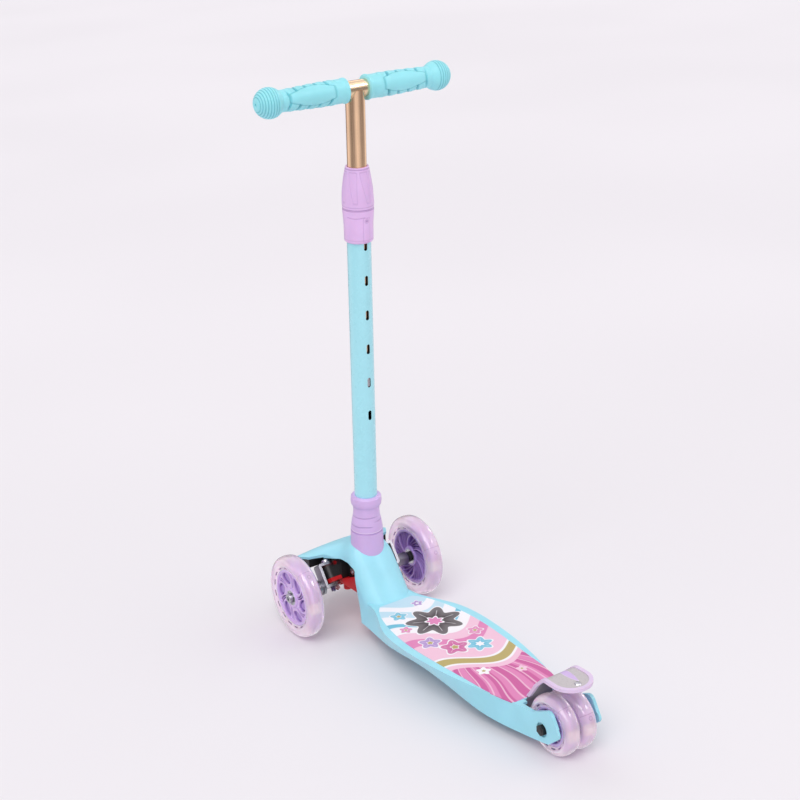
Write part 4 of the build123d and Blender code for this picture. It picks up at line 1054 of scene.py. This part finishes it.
@dataclass
class Wheel:
    """One cast wheel: tyre, hub, races and light blocks, with its axle along X."""

    build: Builder
    name: str
    slots: int
    outward: int
    leaves: int
    boss_r: float = 14.5 * MM
    bore_r: float = 11.0 * MM
    rim_wall: float = 3.6 * MM
    flange: float = 4.6 * MM
    flange_half: float = 1.5 * MM
    face_drop: float = 1.5 * MM
    pocket: float = 5.6 * MM
    swirl: float = 0.62
    steps: int = 240

    def node(self, part: str) -> str:
        """Name of one of the wheel's solids."""
        return f"{self.name}_{part}"

    def axle(self) -> Frame3:
        """Frame at the wheel's middle, with Z along the axle."""
        return Frame3(middle(self.node("hub")), *AXLE)

    def hub_r(self) -> float:
        """Radius of the hub's rim, inside its flange."""
        return float(extent(self.node("hub"))[2] / 2 - self.flange)

    def tyre_profile(self, radius: float, hub: float, half: float) -> np.ndarray:
        """Section of the tyre, from the hub on one side round to the other.

        The side walls lean out from the hub to the full width, a quarter circle
        of 0.36 times the width turns each into the tread, and the tread is
        crowned by 0.4 mm.

        Args:
            radius: Outer radius.
            hub: Radius of the hub's rim.
            half: Half of the width.

        Returns:
            Rows of radius and offset along the axle.
        """
        corner = half * 2 * 0.36
        wall_r = np.concatenate(
            [np.linspace(hub, hub + 6 * MM, 26), np.linspace(hub + 6.6 * MM, radius - corner, 8)],
        )
        wall_x = half - 2 * MM * (1 - smooth(wall_r, hub, hub + 6 * MM))
        turn = np.linspace(0.0, math.pi / 2, 14)[1:]
        bend_r = radius - corner + corner * np.sin(turn) - 0.4 * MM * np.sin(turn)
        bend_x = half - corner + corner * np.cos(turn)
        flat_x = np.linspace(half - corner, 0.0, 5)[1:]
        flat_r = radius - 0.4 * MM * (flat_x / (half - corner)) ** 2
        r = np.concatenate([wall_r, bend_r, flat_r])
        x = np.concatenate([wall_x, bend_x, flat_x])
        return np.stack([np.concatenate([r, r[-2::-1]]), np.concatenate([x, -x[-2::-1]])], axis=1)

    def tyre(self) -> None:
        """Turn the section and sink a ring of short slots beside the hub."""
        size = extent(self.node("tyre"))
        hub = self.hub_r()

        def relief(r: np.ndarray, x: np.ndarray, angle: np.ndarray) -> Shaped:
            """Lip beside the hub and slots sunk in a ring beyond it.

            Args:
                r: Distance of each point from the axis.
                x: Offset of each point along the axle.
                angle: Turn of each point about the axis.

            Returns:
                The moved r and x, and the mark of each point.
            """
            phase = (angle * self.slots / (2 * math.pi)) % 1.0
            long_way = window(phase, 0.2, 0.26, 0.74, 0.8)
            across = window(r, hub + 1.9 * MM, hub + 2.3 * MM, hub + 3.5 * MM, hub + 4.0 * MM)
            # The mark paints shade in the sunk slots.
            mark = long_way * across
            lip = 0.35 * MM * (1 - smooth(np.abs(r - hub - 1.0 * MM), 0.2 * MM, 0.7 * MM))
            return r, x + np.sign(x) * (lip - 0.9 * MM * mark), mark

        centre = middle(self.node("hub"))
        finish = ClearCast(
            f"cast_{self.name}", tuple(float(part) for part in centre), float(size[2] / 2), hub,
            seam_turn=2.15 if self.outward < 0 else 2.6,
        )
        self.build.turned(
            self.node("cast_tyre"), self.axle(), self.tyre_profile(size[2] / 2, hub, size[0] / 2), self.steps,
            relief,
            finish, self.node("tyre"), sharp=55.0,
        )

    def leaf_face(self, share: np.ndarray, angle: np.ndarray) -> np.ndarray:
        """Depth share of the outer face: leaf-shaped pockets, each beside two fine curved grooves.

        A leaf's half width follows half an ellipse along the radius.

        Args:
            share: 0 at the boss and 1 at the rim.
            angle: Turn about the axle.

        Returns:
            Depth from 0 to 1.
        """
        sector = angle * self.leaves / (2 * math.pi) + 0.55 * self.swirl * share
        bow = np.sqrt(np.clip(1 - ((share - 0.6) / 0.36) ** 2, 0.0, 1.0))
        leaf = (1 - smooth(off_centre(sector, 0.3), 0.28 * bow, 0.28 * bow + 0.03)) * (bow > 0.05)
        edge = band(off_centre(sector, 0.3), 0.28 * bow, 0.035, 0.02) * (bow > 0.05)
        ends = window(share, 0.07, 0.13, 0.88, 0.94)
        fine = np.maximum(
            band(sector, 0.72 + 0.04 * bow, 0.022, 0.02), band(sector, 0.84 + 0.04 * bow, 0.022, 0.02),
        )
        return np.maximum(np.maximum(0.5 * leaf, 0.9 * edge), 0.8 * fine * ends)

    def fan_face(self, share: np.ndarray, angle: np.ndarray) -> np.ndarray:
        """Depth share of the inner face: a dish crossed by fans of curved ribs.

        Args:
            share: 0 at the boss and 1 at the rim.
            angle: Turn about the axle.

        Returns:
            Depth from 0 to 1.
        """
        sector = angle * self.leaves / (2 * math.pi) - self.swirl * share
        arch = 0.1 * np.sin(math.pi * np.clip(share, 0.0, 1.0))
        rib = band(sector, 0.0, 0.045, 0.03)
        for centre in (0.24, 0.44, 0.62, 0.8):
            rib = np.maximum(rib, 0.8 * band(sector, centre + arch, 0.016, 0.022))
        return (1 - rib) * smooth(share, 0.0, 0.05) * (1 - smooth(share, 0.95, 1.0))

    def hub(self) -> None:
        """Turn the hub's section and sink the pattern of each face between the boss and the rim."""
        half = float(extent(self.node("tyre"))[0] / 2 - 2 * MM)
        boss = float(extent(self.node("hub"))[0] / 2)
        hub, inner = self.hub_r(), self.hub_r() - self.rim_wall
        face = half - self.face_drop
        rings = max(24, int((inner - self.boss_r) / (0.38 * MM)))
        field_r = np.linspace(self.boss_r + 0.3 * MM, inner - 0.3 * MM, rings)
        upper = [
            (self.bore_r, 0.0), (self.bore_r, boss * 0.5), (self.bore_r, boss),
            (self.boss_r - 0.5 * MM, boss), (self.boss_r, boss - 0.5 * MM), (self.boss_r, face + 0.1 * MM),
        ]
        upper += [(float(r), face) for r in field_r]
        upper += [
            (inner, face + 0.1 * MM), (inner, half - 0.5 * MM), (inner + 0.5 * MM, half),
            (hub - 0.5 * MM, half), (hub, half - 0.5 * MM), (hub, self.flange_half),
            (hub + self.flange, self.flange_half),
        ]
        top = np.array(upper)
        low = top[:0:-1] * np.array([1.0, -1.0])
        section = np.concatenate([top, low])

        def relief(r: np.ndarray, x: np.ndarray, angle: np.ndarray) -> Shaped:
            """Sink each face by its pattern, between the boss and the rim.

            Args:
                r: Distance of each point from the axis.
                x: Offset of each point along the axle.
                angle: Turn of each point about the axis.

            Returns:
                The moved r and x, and the mark of each point.
            """
            inside = (r > self.boss_r + 0.1 * MM) & (r < inner - 0.1 * MM)
            share = (r - self.boss_r) / (inner - self.boss_r)
            outer = x * self.outward > 0
            depth = np.where(outer, self.leaf_face(share, angle), self.fan_face(share, angle)) * inside
            # The mark grows with the depth and paints shade in the pockets.
            return r, x - np.sign(x) * self.pocket * depth, np.clip(
                depth * np.where(outer, 1.25, 1.0), 0.0, 1.0,
            )

        self.build.turned(
            self.node("swirl_hub"), self.axle(), section, int(self.steps * 1.6), relief,
            HubPlastic(f"hub_{self.name}", float(middle(self.node("hub"))[0]), float(self.outward)),
            self.node("hub"),
            sharp=50.0,
        )

    def make(self) -> None:
        """Build the tyre and hub and dress the races, coil and lights."""
        self.tyre()
        self.hub()
        self.build.dressed(self.node("bearings"), STEEL)
        self.build.dressed(self.node("coil"), MAGNET)
        self.build.dressed(self.node("lights"), CLEAR)


# ---------------------------------------------------------------------------
# Handlebar grips
# ---------------------------------------------------------------------------


@dataclass
class Grip:
    """Moulded rubber grip: flange, notched sleeve with a smooth panel, ringed ball end."""

    build: Builder
    side: Side
    bore: float = 11.1 * MM
    flange_r: float = 16.4 * MM
    sleeve_r: float = 15.3 * MM
    neck_r: float = 13.6 * MM
    ball_r: float = 19.5 * MM
    flat_r: float = 6.0 * MM
    hole_r: float = 2.0 * MM
    hair: float = 0.02 * MM
    notches: int = 5
    rings: int = 8
    steps: int = 160
    sleeve_rows: int = 150
    ball_rows: int = 120

    def sleeve(self, share: np.ndarray, angle: np.ndarray) -> tuple[np.ndarray, np.ndarray]:
        """Radius and mark of the sleeve at a share of its length and an angle.

        It tapers from the flange to the neck. Slanted notches cut it where it faces up, forward and down, and
        an outlined panel faces the rider. The mark paints shade in the notches and the outline.

        Args:
            share: 0 at the flange and 1 at the neck.
            angle: Turn from straight back towards straight up.

        Returns:
            The radius and the mark.
        """
        radius = self.sleeve_r + (self.neck_r - self.sleeve_r) * smooth(share, 0.15, 1.0)
        facing = np.cos(angle - math.radians(14.0))
        waist = 0.36 + 0.16 * np.cos((share - 0.5) * 2 * math.pi * 1.1)
        panel = smooth(facing, 1.08 - waist, 1.18 - waist)
        panel = panel * smooth(share, 0.14, 0.2) * (1 - smooth(share, 0.86, 0.92))
        outline = 4 * panel * (1 - panel)
        wave = (share * (self.notches + 1) + 0.16 * np.cos(angle * 2)) % 1.0
        notch = 1 - smooth(np.abs(wave - 0.5), 0.08, 0.15)
        ramp = smooth(wave, 0.5, 1.0) * (wave > 0.5) * 0.5 * MM
        middle_part = window(share, 0.10, 0.16, 0.88, 0.94)
        carve = notch * middle_part * (1 - panel)
        swell = 0.5 * MM * np.sin(share * math.pi)
        radius = radius + swell + 0.5 * MM * panel - 3.2 * MM * carve - 0.5 * MM * outline
        # The mark paints shade in the notches and the panel's outline.
        return radius + ramp * middle_part * (1 - panel), np.maximum(0.75 * carve, 0.55 * outline)

    def make(self) -> None:
        """Radius as a function of length and angle, in one closed section from the bore out and back."""
        node = f"{self.side.word}_grip"
        low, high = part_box(node)
        centre = middle(node)
        start = float(min(abs(low[0]), abs(high[0])))
        tip = float(max(abs(low[0]), abs(high[0])))
        ball = tip - math.sqrt(self.ball_r ** 2 - self.flat_r ** 2)
        neck = ball - math.sqrt(self.ball_r ** 2 - self.neck_r ** 2)
        stop = ball - 5.0 * MM
        sleeve_start = start + 6.0 * MM
        drop = np.array([0.9, 0.2, 0.0, 0.1, 0.7, 1.0]) * MM
        rise = np.array([0.0, 0.4, 1.2, 2.6, 3.6, 4.6]) * MM
        first, last = math.asin((neck - ball) / self.ball_r), math.acos(self.flat_r / self.ball_r)
        turn = np.linspace(first, last, self.ball_rows)[1:]
        section = np.concatenate([
            np.stack([self.flange_r - drop, start + rise], axis=1),
            np.stack([
                np.full(self.sleeve_rows, self.sleeve_r), np.linspace(sleeve_start, neck, self.sleeve_rows),
            ], axis=1),
            np.stack([self.ball_r * np.cos(turn), ball + self.ball_r * np.sin(turn)], axis=1),
            np.array([
                (self.flat_r - 1.0 * MM, tip), (self.hole_r + 0.4 * MM, tip), (self.hole_r, tip - 0.5 * MM),
                (self.hole_r, tip - 6 * MM), (self.hair, tip - 6 * MM), (self.hair, stop), (self.bore, stop),
                (self.bore, (stop + start) / 2), (self.bore, start),
            ]),
        ])
        rows = np.arange(len(section))[:, None]
        sleeve_row, ball_row = len(rise), len(rise) + self.sleeve_rows
        on_sleeve = (rows >= sleeve_row) & (rows < ball_row)
        on_ball = (rows >= ball_row) & (rows < ball_row + len(turn))

        def relief(r: np.ndarray, s: np.ndarray, angle: np.ndarray) -> Shaped:
            """Shape the sleeve and cut rings round the ball.

            Args:
                r: Distance of each point from the axis.
                s: Distance of each point from the middle of the bar.
                angle: Turn of each point about the axis.

            Returns:
                The moved r and s, and the mark of each point.
            """
            shaped, mark = self.sleeve((s - sleeve_start) / (neck - sleeve_start), angle)
            climb = np.arctan2(s - ball, r)
            groove = np.abs(np.sin((climb - first) / (last - first) * math.pi * (self.rings + 3)))
            ringed = (1 - smooth(groove, 0.25, 0.75)) * smooth(climb, first + 0.42, first + 0.52)
            ringed = ringed * (1 - smooth(climb, last - 0.12, last - 0.04)) * on_ball
            cut = 0.65 * MM * ringed
            moved_r = np.where(on_sleeve, shaped, r - cut * np.cos(climb))
            # The mark paints shade in the sleeve's notches and the ball's rings.
            return moved_r, s - cut * np.sin(climb), np.where(on_sleeve, mark, 0.6 * ringed)

        out = np.array([float(self.side.value), 0.0, 0.0])
        origin = np.array([0.0, centre[1], centre[2]])
        place = Frame3(origin, np.array([0.0, -1.0, 0.0]), np.array([0.0, 0.0, 1.0]), out)
        self.build.turned(
            f"{self.side.word}_moulded_grip", place, section, self.steps, relief, GRIP, node, sharp=50.0,
        )


# ---------------------------------------------------------------------------
# Deck, truck, brake and stem
# ---------------------------------------------------------------------------


@dataclass
class Deck:
    """Deck moulding and its printed mat."""

    build: Builder

    def make(self) -> None:
        """Dress the shell and the mat."""
        self.build.dressed("deck_shell", DECK, sharp=38.0)
        low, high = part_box("deck_mat")
        self.build.dressed("deck_mat", PrintedMat("printed_mat", float(low[1]), float(high[1])))


@dataclass
class Truck:
    """Lean-to-steer truck under the hood."""

    build: Builder

    def make(self) -> None:
        """Dress the housing, the pivots, the axle holders and the tie rod."""
        self.build.dressed("truck_upper_housing", BLACK)
        self.build.dressed("truck_lower_cover", RED)
        for node in ("truck_screws", "kingpins", "kingpin_nuts", "tie_rod"):
            self.build.dressed(node, STEEL)
        self.build.dressed("kingpin_bushes", DARK_RUBBER)
        self.build.dressed("lean_bumpers", RED_RUBBER)
        for side in Side:
            self.build.dressed(f"{side.word}_knuckle", CHROME)
            self.build.dressed(f"{side.word}_axle_bolt", STEEL)
            self.build.dressed(f"{side.word}_axle_washer", BLACK)
            self.build.dressed(f"{side.word}_magnet", MAGNET)


@dataclass
class Brake:
    """Sprung fender over the rear wheels."""

    build: Builder

    def make(self) -> None:
        """Dress the plate, its edge, the rivet, pin and spring."""
        finish = FenderPlate("fender_grey", float(middle("rear_axle_bolt")[1]) - 1 * MM)
        # Faces that look down are marked for painted shade.
        self.build.dressed(
            "fender_plate", finish, shade=lambda _, normals: (normals[:, 2] < 0.1).astype(float),
        )
        self.build.dressed("fender_trim", TRIM)
        for node in ("fender_rivet", "fender_pin", "fender_spring"):
            self.build.dressed(node, STEEL)


@dataclass
class RearAxle:
    """Rear axle bolt, nut, spacers and magnets."""

    build: Builder

    def make(self) -> None:
        """Dress the fasteners."""
        self.build.dressed("rear_axle_bolt", BLACK)
        self.build.dressed("rear_axle_nut", BLACK)
        self.build.dressed("rear_axle_spacers", STEEL)
        self.build.dressed("rear_magnets", MAGNET)


@dataclass
class Stem:
    """Raked stem with its collar, twist lock, sliding gold tube and crossbar."""

    build: Builder
    button_travel: float = 3.0 * MM
    tube_r: float = 12.7 * MM
    bar_r: float = 11.1 * MM
    bead_r: float = 1.1 * MM
    petals: int = 7
    nut_height: float = 55.2 * MM
    nut_rows: int = 130
    body_height: float = 69.1 * MM
    body_rows: int = 110

    def axis(self) -> Frame3:
        """Frame on the stem's axis, at the lock, with Z up the stem."""
        joint = next(one for one in self.build.frame["joints"] if one["name"] == "lock_twist")
        up = np.array(joint["axis"], float)
        up /= np.linalg.norm(up)
        right = np.array([1.0, 0.0, 0.0])
        return Frame3(np.array(joint["pos_m"], float), right, np.cross(up, right), up)

    def heights(self, node: str) -> np.ndarray:
        """Heights of a solid's points up the stem, from the lock's joint."""
        places = read(self.build.frame["nodes"][node].data.vertices, "co").astype(float)
        axis = self.axis()
        return (places - axis.origin) @ axis.z

    def inner_wall(self, centres: np.ndarray, normals: np.ndarray) -> np.ndarray:
        """1 on faces that look towards the stem's axis, which take painted shade, and 0 on the others.

        Args:
            centres: Middles of the faces.
            normals: Directions that they face.

        Returns:
            The mark of each face.
        """
        axis = self.axis()
        off = centres - axis.origin
        off = off - np.outer(off @ axis.z, axis.z)
        return (np.einsum("ij,ij->i", off, normals) < 0.2 * np.linalg.norm(off, axis=1)).astype(float)

    def lock_nut(self) -> None:
        """Turning half of the lock: a barrel with a ring at its lip and tapering petals sunk in its side."""
        heights = self.heights("lock_nut")
        low, high = float(heights.min()), float(heights.max())
        tall = high - low
        skin = curve([
            (20.7, 0.7), (20.95, 4.0), (21.1, 9.0), (20.9, 16.0), (20.4, 24.0), (19.3, 33.0), (17.9, 42.0),
            (16.4, 50.0), (15.7, 53.2),
        ], self.nut_rows) * MM
        lip = np.array([(15.6, 54.3), (15.1, 55.0), (14.5, 55.2), (13.2, 55.2), (13.2, 51.0), (14.7, 47.0),
                        (16.8, 25.0), (17.9, 25.0), (17.9, 0.0), (20.1, 0.0)]) * MM
        section = np.concatenate([skin, lip])
        section[:, 1] = low + section[:, 1] * tall / self.nut_height
        rows = np.arange(len(section))[:, None]

        def relief(r: np.ndarray, h: np.ndarray, angle: np.ndarray) -> Shaped:
            """Sink the petals, a ring near the lip and a seam near the foot.

            Args:
                r: Distance of each point from the axis.
                h: Height of each point up the stem.
                angle: Turn of each point about the axis.

            Returns:
                The moved r and h, and the mark of each point.
            """
            share = (h - low) / tall
            cycle = angle * self.petals / (2 * math.pi) + 0.35 * share
            half = 0.13 + 0.2 * smooth(share, 0.15, 0.95)
            petal = 1 - smooth(off_centre(cycle, 0.5), half, half + 0.07)
            petal = petal * smooth(share, 0.13, 0.22) * (1 - smooth(share, 0.88, 0.92))
            ring = 1 - smooth(np.abs(share - 0.955), 0.008, 0.016)
            seam = 1 - smooth(np.abs(share - 0.075), 0.004, 0.012)
            edge = 4 * petal * (1 - petal)
            on_skin = rows < self.nut_rows
            cut = (0.75 * petal + 0.35 * ring + 0.25 * seam) * MM * on_skin
            foot = 1 - smooth(share, 0.012, 0.03)
            # Painted shade on the petals' edges, in the ring and the seam, and at the foot where the nut
            # meets the body.
            mark = np.maximum.reduce([0.3 * edge, 0.55 * ring, 0.4 * seam, 0.95 * foot]) * on_skin
            return r - cut, h, mark

        self.build.turned(
            "petalled_lock_nut", self.axis(), section, 280, relief, LILAC, "lock_nut", sharp=48.0,
        )

    def lock_body(self) -> None:
        """Fixed half of the lock: a sleeve with a raised strip at the back, a dimple and a shallow arc."""
        heights = self.heights("lock_body")
        low = float(heights.min())
        skin = curve([
            (17.9, 0.4), (18.9, 1.6), (19.25, 3.4), (19.35, 12.0), (19.5, 24.0), (20.3, 35.0), (20.75, 42.0),
            (20.8, 44.3),
        ], self.body_rows) * MM
        neck = np.array([
            (20.2, 45.1), (17.6, 45.1), (17.6, 69.1), (15.9, 69.1), (15.9, 0.0), (17.4, 0.0),
        ]) * MM
        section = np.concatenate([skin, neck])
        section[:, 1] = low + section[:, 1] * float(heights.max() - low) / self.body_height
        rows = np.arange(len(section))[:, None]
        back = -math.pi / 2

        def relief(r: np.ndarray, h: np.ndarray, angle: np.ndarray) -> Shaped:
            """Raise the strip and sink the dimple, the arc and the lower line.

            Args:
                r: Distance of each point from the axis.
                h: Height of each point up the stem.
                angle: Turn of each point about the axis.

            Returns:
                The moved r and h, and the mark of each point.
            """
            rise = (h - low) / MM
            around = (angle - back + math.pi) % (2 * math.pi) - math.pi
            strip = 1 - smooth(np.abs(around), 0.22, 0.27)
            strip = strip * smooth(rise, 1.5, 3.0) * (1 - smooth(rise, 34.0, 36.0))
            edge = 4 * strip * (1 - strip)
            from_dimple = np.hypot(around * 20.0, rise - 31.0)
            dimple = 1 - smooth(from_dimple, 1.3, 2.3)
            rim = 1 - smooth(np.abs(from_dimple - 2.8), 0.2, 0.6)
            bend = 37.5 - 2.6 * np.cos((around + 0.75) * 1.6)
            arc = 1 - smooth(np.abs(rise - bend), 0.25, 0.8)
            arc = arc * (1 - smooth(np.abs(around + 0.75), 0.55, 0.7))
            top = smooth(rise, 43.6, 44.6)
            lip = 1 - smooth(np.abs(rise - 4.6), 0.2, 0.6)
            on_skin = rows < self.body_rows
            cut = (-0.45 * strip + 0.25 * edge + 0.5 * dimple + 0.35 * arc + 0.25 * lip) * MM * on_skin
            # Painted shade along the strip's edges, in the dimple and round it, in the arc and the lower
            # line, and at the top where the body meets the nut.
            marks = [0.45 * edge, 0.7 * dimple, 0.5 * rim, 0.5 * arc, 0.35 * lip, 0.95 * top]
            return r - cut, h, np.maximum.reduce(marks) * on_skin

        self.build.turned(
            "strapped_lock_body", self.axis(), section, 280, relief, LILAC, "lock_body", sharp=48.0,
        )

    def spring(self) -> None:
        """Dress the button's spring and give it a mesh of its own."""
        piece = self.build.dressed("button_spring", STEEL)
        forward = np.cross(self.axis().z, (1.0, 0.0, 0.0))
        places = read(piece.data.vertices, "co").astype(float)
        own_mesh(piece)

    def weld(self) -> None:
        """Weld bead on the seam of the two tubes.

        The seam is where a point of the crossbar, at an angle s from straight
        down, is as far from the stem's axis as the sliding tube's radius. A
        small circle with ripples is carried along it.
        """
        frame = self.axis()
        frame.origin = middle("crossbar")
        turn = np.linspace(-math.pi / 2, math.pi / 2, 61)
        for side in Side:
            y = self.bar_r * np.sin(turn)
            x = np.sqrt(self.tube_r ** 2 - y ** 2) * side.value
            z = -self.bar_r * np.cos(turn)
            path = np.stack([x, y, z], axis=1)
            ahead = np.gradient(path, axis=0)
            ahead /= np.linalg.norm(ahead, axis=1)[:, None]
            out = path / np.linalg.norm(path, axis=1)[:, None]
            aside = np.cross(ahead, out)
            aside /= np.linalg.norm(aside, axis=1)[:, None]
            above = np.cross(aside, ahead)
            ring = np.linspace(0.0, 2 * math.pi, 12, endpoint=False)
            size = self.bead_r * (1 + 0.12 * np.sin(np.arange(len(turn)) * 2.1))[:, None, None]
            taper = np.sin(np.linspace(0.08, math.pi - 0.08, len(turn))) ** 0.3
            size = size * (0.25 + 0.75 * taper)[:, None, None]
            cloud = path[:, None, :] + size * (
                np.cos(ring)[None, :, None] * aside[:, None, :]
                + np.sin(ring)[None, :, None] * above[:, None, :]
            )
            local = cloud.reshape(-1, 3)
            points = frame.carry(local[:, 0], local[:, 1], local[:, 2])
            faces = grid_faces(len(turn), len(ring))
            if side is Side.RIGHT:
                faces = faces[:, ::-1]
            self.build.piece(
                f"{side.word}_weld_bead", points, faces, GOLD, "handlebar", "gold_metal", sharp=60.0,
            )

    def make(self) -> None:
        """Dress the tubes and mouldings and add the weld."""
        axis = self.axis()
        foot = middle("lower_tube")
        half = float(np.ptp(self.heights("lower_tube")) / 2)
        seat = foot - axis.z * (half + 3.0 * MM)
        boot = CreasedBoot("collar_lilac_plastic", tuple(map(float, seat)), tuple(map(float, axis.z)))
        self.build.dressed("base_collar", boot)
        # The tube's inner wall takes painted shade.
        self.build.dressed("lower_tube", STEM, shade=self.inner_wall)
        self.build.dressed("stem_bolt", STEEL)
        self.lock_body()
        self.build.dressed("lock_collet", BLACK)
        self.lock_nut()
        self.build.dressed("upper_tube", GOLD)
        self.build.dressed("crossbar", GOLD_BAR)
        self.build.dressed("guide_bush", BLACK)
        self.build.dressed("snap_button", STEEL)
        self.spring()
        self.weld()


# ---------------------------------------------------------------------------
# Floor, light and camera
# ---------------------------------------------------------------------------


@dataclass
class Studio:
    """Pale floor, soft light and the camera."""

    aim: Vector = field(default_factory=lambda: Vector((-0.05674, -0.00333, 0.40921)))
    turn: float = math.radians(-32.99)
    lift: float = math.radians(20.46)
    roll: float = math.radians(-3.37)
    distance: float = 2.0
    lens: float = 72.17
    sensor: float = 36.0
    floor_half: float = 20.0
    ambient: float = 0.6
    ceiling: float = 0.92
    background: Colour = tone(240, 236, 241)
    # Soft boxes: direction, cosine at the edge, cosine at full strength, strength.
    boxes: tuple[tuple[Triple, float, float, float], ...] = (
        ((0.51, -0.56, 0.66), 0.990, 0.995, 9.0),
        ((-0.75, -0.15, 0.62), 0.990, 0.995, 8.0),
        ((-0.35, -0.75, 0.56), 0.992, 0.996, 9.0),
        ((0.85, 0.15, 0.5), 0.990, 0.995, 7.0),
    )

    def camera(self) -> None:
        """Look at the aim point from a turn, a height and a distance, with a slight roll."""
        back = Vector((
            math.sin(self.turn) * math.cos(self.lift), -math.cos(self.turn) * math.cos(self.lift),
            math.sin(self.lift),
        ))
        right = Vector((math.cos(self.turn), math.sin(self.turn), 0.0))
        up = back.cross(right)
        rolled_right = right * math.cos(self.roll) + up * math.sin(self.roll)
        rolled_up = up * math.cos(self.roll) - right * math.sin(self.roll)
        data = bpy.data.cameras.new("camera")
        data.lens = self.lens
        data.sensor_width = self.sensor
        data.clip_end = 100.0
        obj = bpy.data.objects.new("camera", data)
        bpy.context.scene.collection.objects.link(obj)
        turn = Matrix((rolled_right, rolled_up, back)).transposed()
        obj.matrix_world = Matrix.Translation(self.aim + back * self.distance) @ turn.to_4x4()
        bpy.context.scene.camera = obj

    def lamp(self, name: str, towards: Vector, spread: float, power: float) -> None:
        """Even soft light from a direction.

        Args:
            name: Name of the lamp.
            towards: Direction from the scooter to the light.
            spread: Angle that the light fills, in degrees.
            power: Strength in watts on a square metre.
        """
        data = bpy.data.lights.new(name, "SUN")
        data.angle = math.radians(spread)
        data.energy = power
        obj = bpy.data.objects.new(name, data)
        bpy.context.scene.collection.objects.link(obj)
        obj.rotation_euler = towards.to_track_quat("Z", "Y").to_euler()

    def reflected(self, graph: Graph) -> Socket:
        """Strength of what glossy surfaces mirror.

        Upright bands lie at the horizon, even light lies above and below it,
        and four soft boxes are added.

        Args:
            graph: Tree of the world.

        Returns:
            The strength in each direction.
        """
        direction = graph.add("TexCoord").outputs["Generated"]
        x, y, z = graph.axes(direction)
        turn = graph.math("ARCTAN2", y, x)
        wave = graph.math(
            "MULTIPLY_ADD", graph.math("SINE", graph.math("MULTIPLY_ADD", turn, 3.0, 0.9)), 0.5, 0.5,
        )
        horizon = graph.math("MULTIPLY_ADD", graph.math("POWER", wave, 1.4), 0.85, 0.3)
        level = graph.step(graph.math("ABSOLUTE", z), 0.46, 0.26)
        mixed = graph.add("Mix", data_type="FLOAT")
        for index, value in zip(MIX_NUMBER_INPUTS, (level, self.ceiling, horizon)):
            graph.feed(mixed.inputs[index], value)
        total = mixed.outputs[MIX_NUMBER_OUTPUT]
        for box, low, high, power in self.boxes:
            node = graph.add("VectorMath", operation="DOT_PRODUCT")
            graph.feed(node.inputs[0], direction)
            node.inputs[1].default_value = Vector(box).normalized()
            glow = graph.math("MULTIPLY", graph.step(node.outputs["Value"], low, high), power)
            total = graph.math("ADD", total, glow)
        return total

    def world(self) -> None:
        """Even light from all round, with two exceptions by the kind of ray.

        Glossy rays see the bands and soft boxes. The camera, and rays through
        clear pieces, see the background's colour.
        """
        world = bpy.data.worlds.new("studio")
        graph = Graph(world)
        light, mirrored, seen = (graph.add("Background") for _ in range(3))
        light.inputs[0].default_value = (1.0, 0.99, 1.0, 1.0)
        light.inputs[1].default_value = self.ambient
        mirrored.inputs[0].default_value = (*self.background, 1.0)
        graph.feed(mirrored.inputs[1], self.reflected(graph))
        seen.inputs[0].default_value = (*self.background, 1.0)
        path = graph.add("LightPath")
        glossy, camera = graph.add("MixShader"), graph.add("MixShader")
        graph.feed(glossy.inputs[0], path.outputs["Is Glossy Ray"])
        graph.feed(glossy.inputs[1], light.outputs[0])
        graph.feed(glossy.inputs[2], mirrored.outputs[0])
        clear = graph.math("MAXIMUM", path.outputs["Is Camera Ray"], path.outputs["Is Transmission Ray"])
        graph.feed(camera.inputs[0], clear)
        graph.feed(camera.inputs[1], glossy.outputs[0])
        graph.feed(camera.inputs[2], seen.outputs[0])
        graph.feed(graph.add("OutputWorld").inputs[0], camera.outputs[0])
        bpy.context.scene.world = world

    def floor(self) -> None:
        """Large level sheet just under the wheels."""
        half = self.floor_half
        mesh = bpy.data.meshes.new("floor")
        mesh.from_pydata(
            [(-half, -half, 0), (half, -half, 0), (half, half, 0), (-half, half, 0)], [], [(0, 1, 2, 3)],
        )
        graph = Graph.of_material("floor_paper")
        cloud = graph.step(graph.noise(0.7, 1.0), 0.3, 0.7)
        shade = graph.blend(cloud, tone(238, 234, 239), tone(241, 237, 242))
        mesh.materials.append(graph.shader(Base_Color=shade, Roughness=0.95, Specular_IOR_Level=0.0))
        obj = bpy.data.objects.new("floor", mesh)
        bpy.context.scene.collection.objects.link(obj)
        obj.visible_glossy = False

    def make(self) -> None:
        """Set up the stage."""
        bpy.context.scene.view_settings.view_transform = "Standard"
        self.camera()
        self.world()
        self.floor()
        self.lamp("key", Vector((-0.55, -0.5, 1.0)), 40.0, 1.15)
        self.lamp("fill", Vector((0.9, -0.5, 0.8)), 60.0, 0.35)
        self.lamp("rim", Vector((0.2, 0.9, 0.9)), 50.0, 0.3)


def main() -> None:
    """Build the scooter's looks around the frame."""
    logging.basicConfig(level=logging.INFO, format="%(message)s")
    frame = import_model()
    build = Builder(frame)
    Studio().make()
    Deck(build).make()
    Truck(build).make()
    RearAxle(build).make()
    Brake(build).make()
    Stem(build).make()
    for side in Side:
        Wheel(build, f"{side.word}_front", 16, side.value, leaves=6).make()
        Wheel(build, f"{side.word}_rear", 12, side.value, leaves=6, swirl=0.4, steps=200).make()
        Grip(build, side).make()
    LOG.info("%d pieces", build.count)


if __name__ == "__main__":
    main()
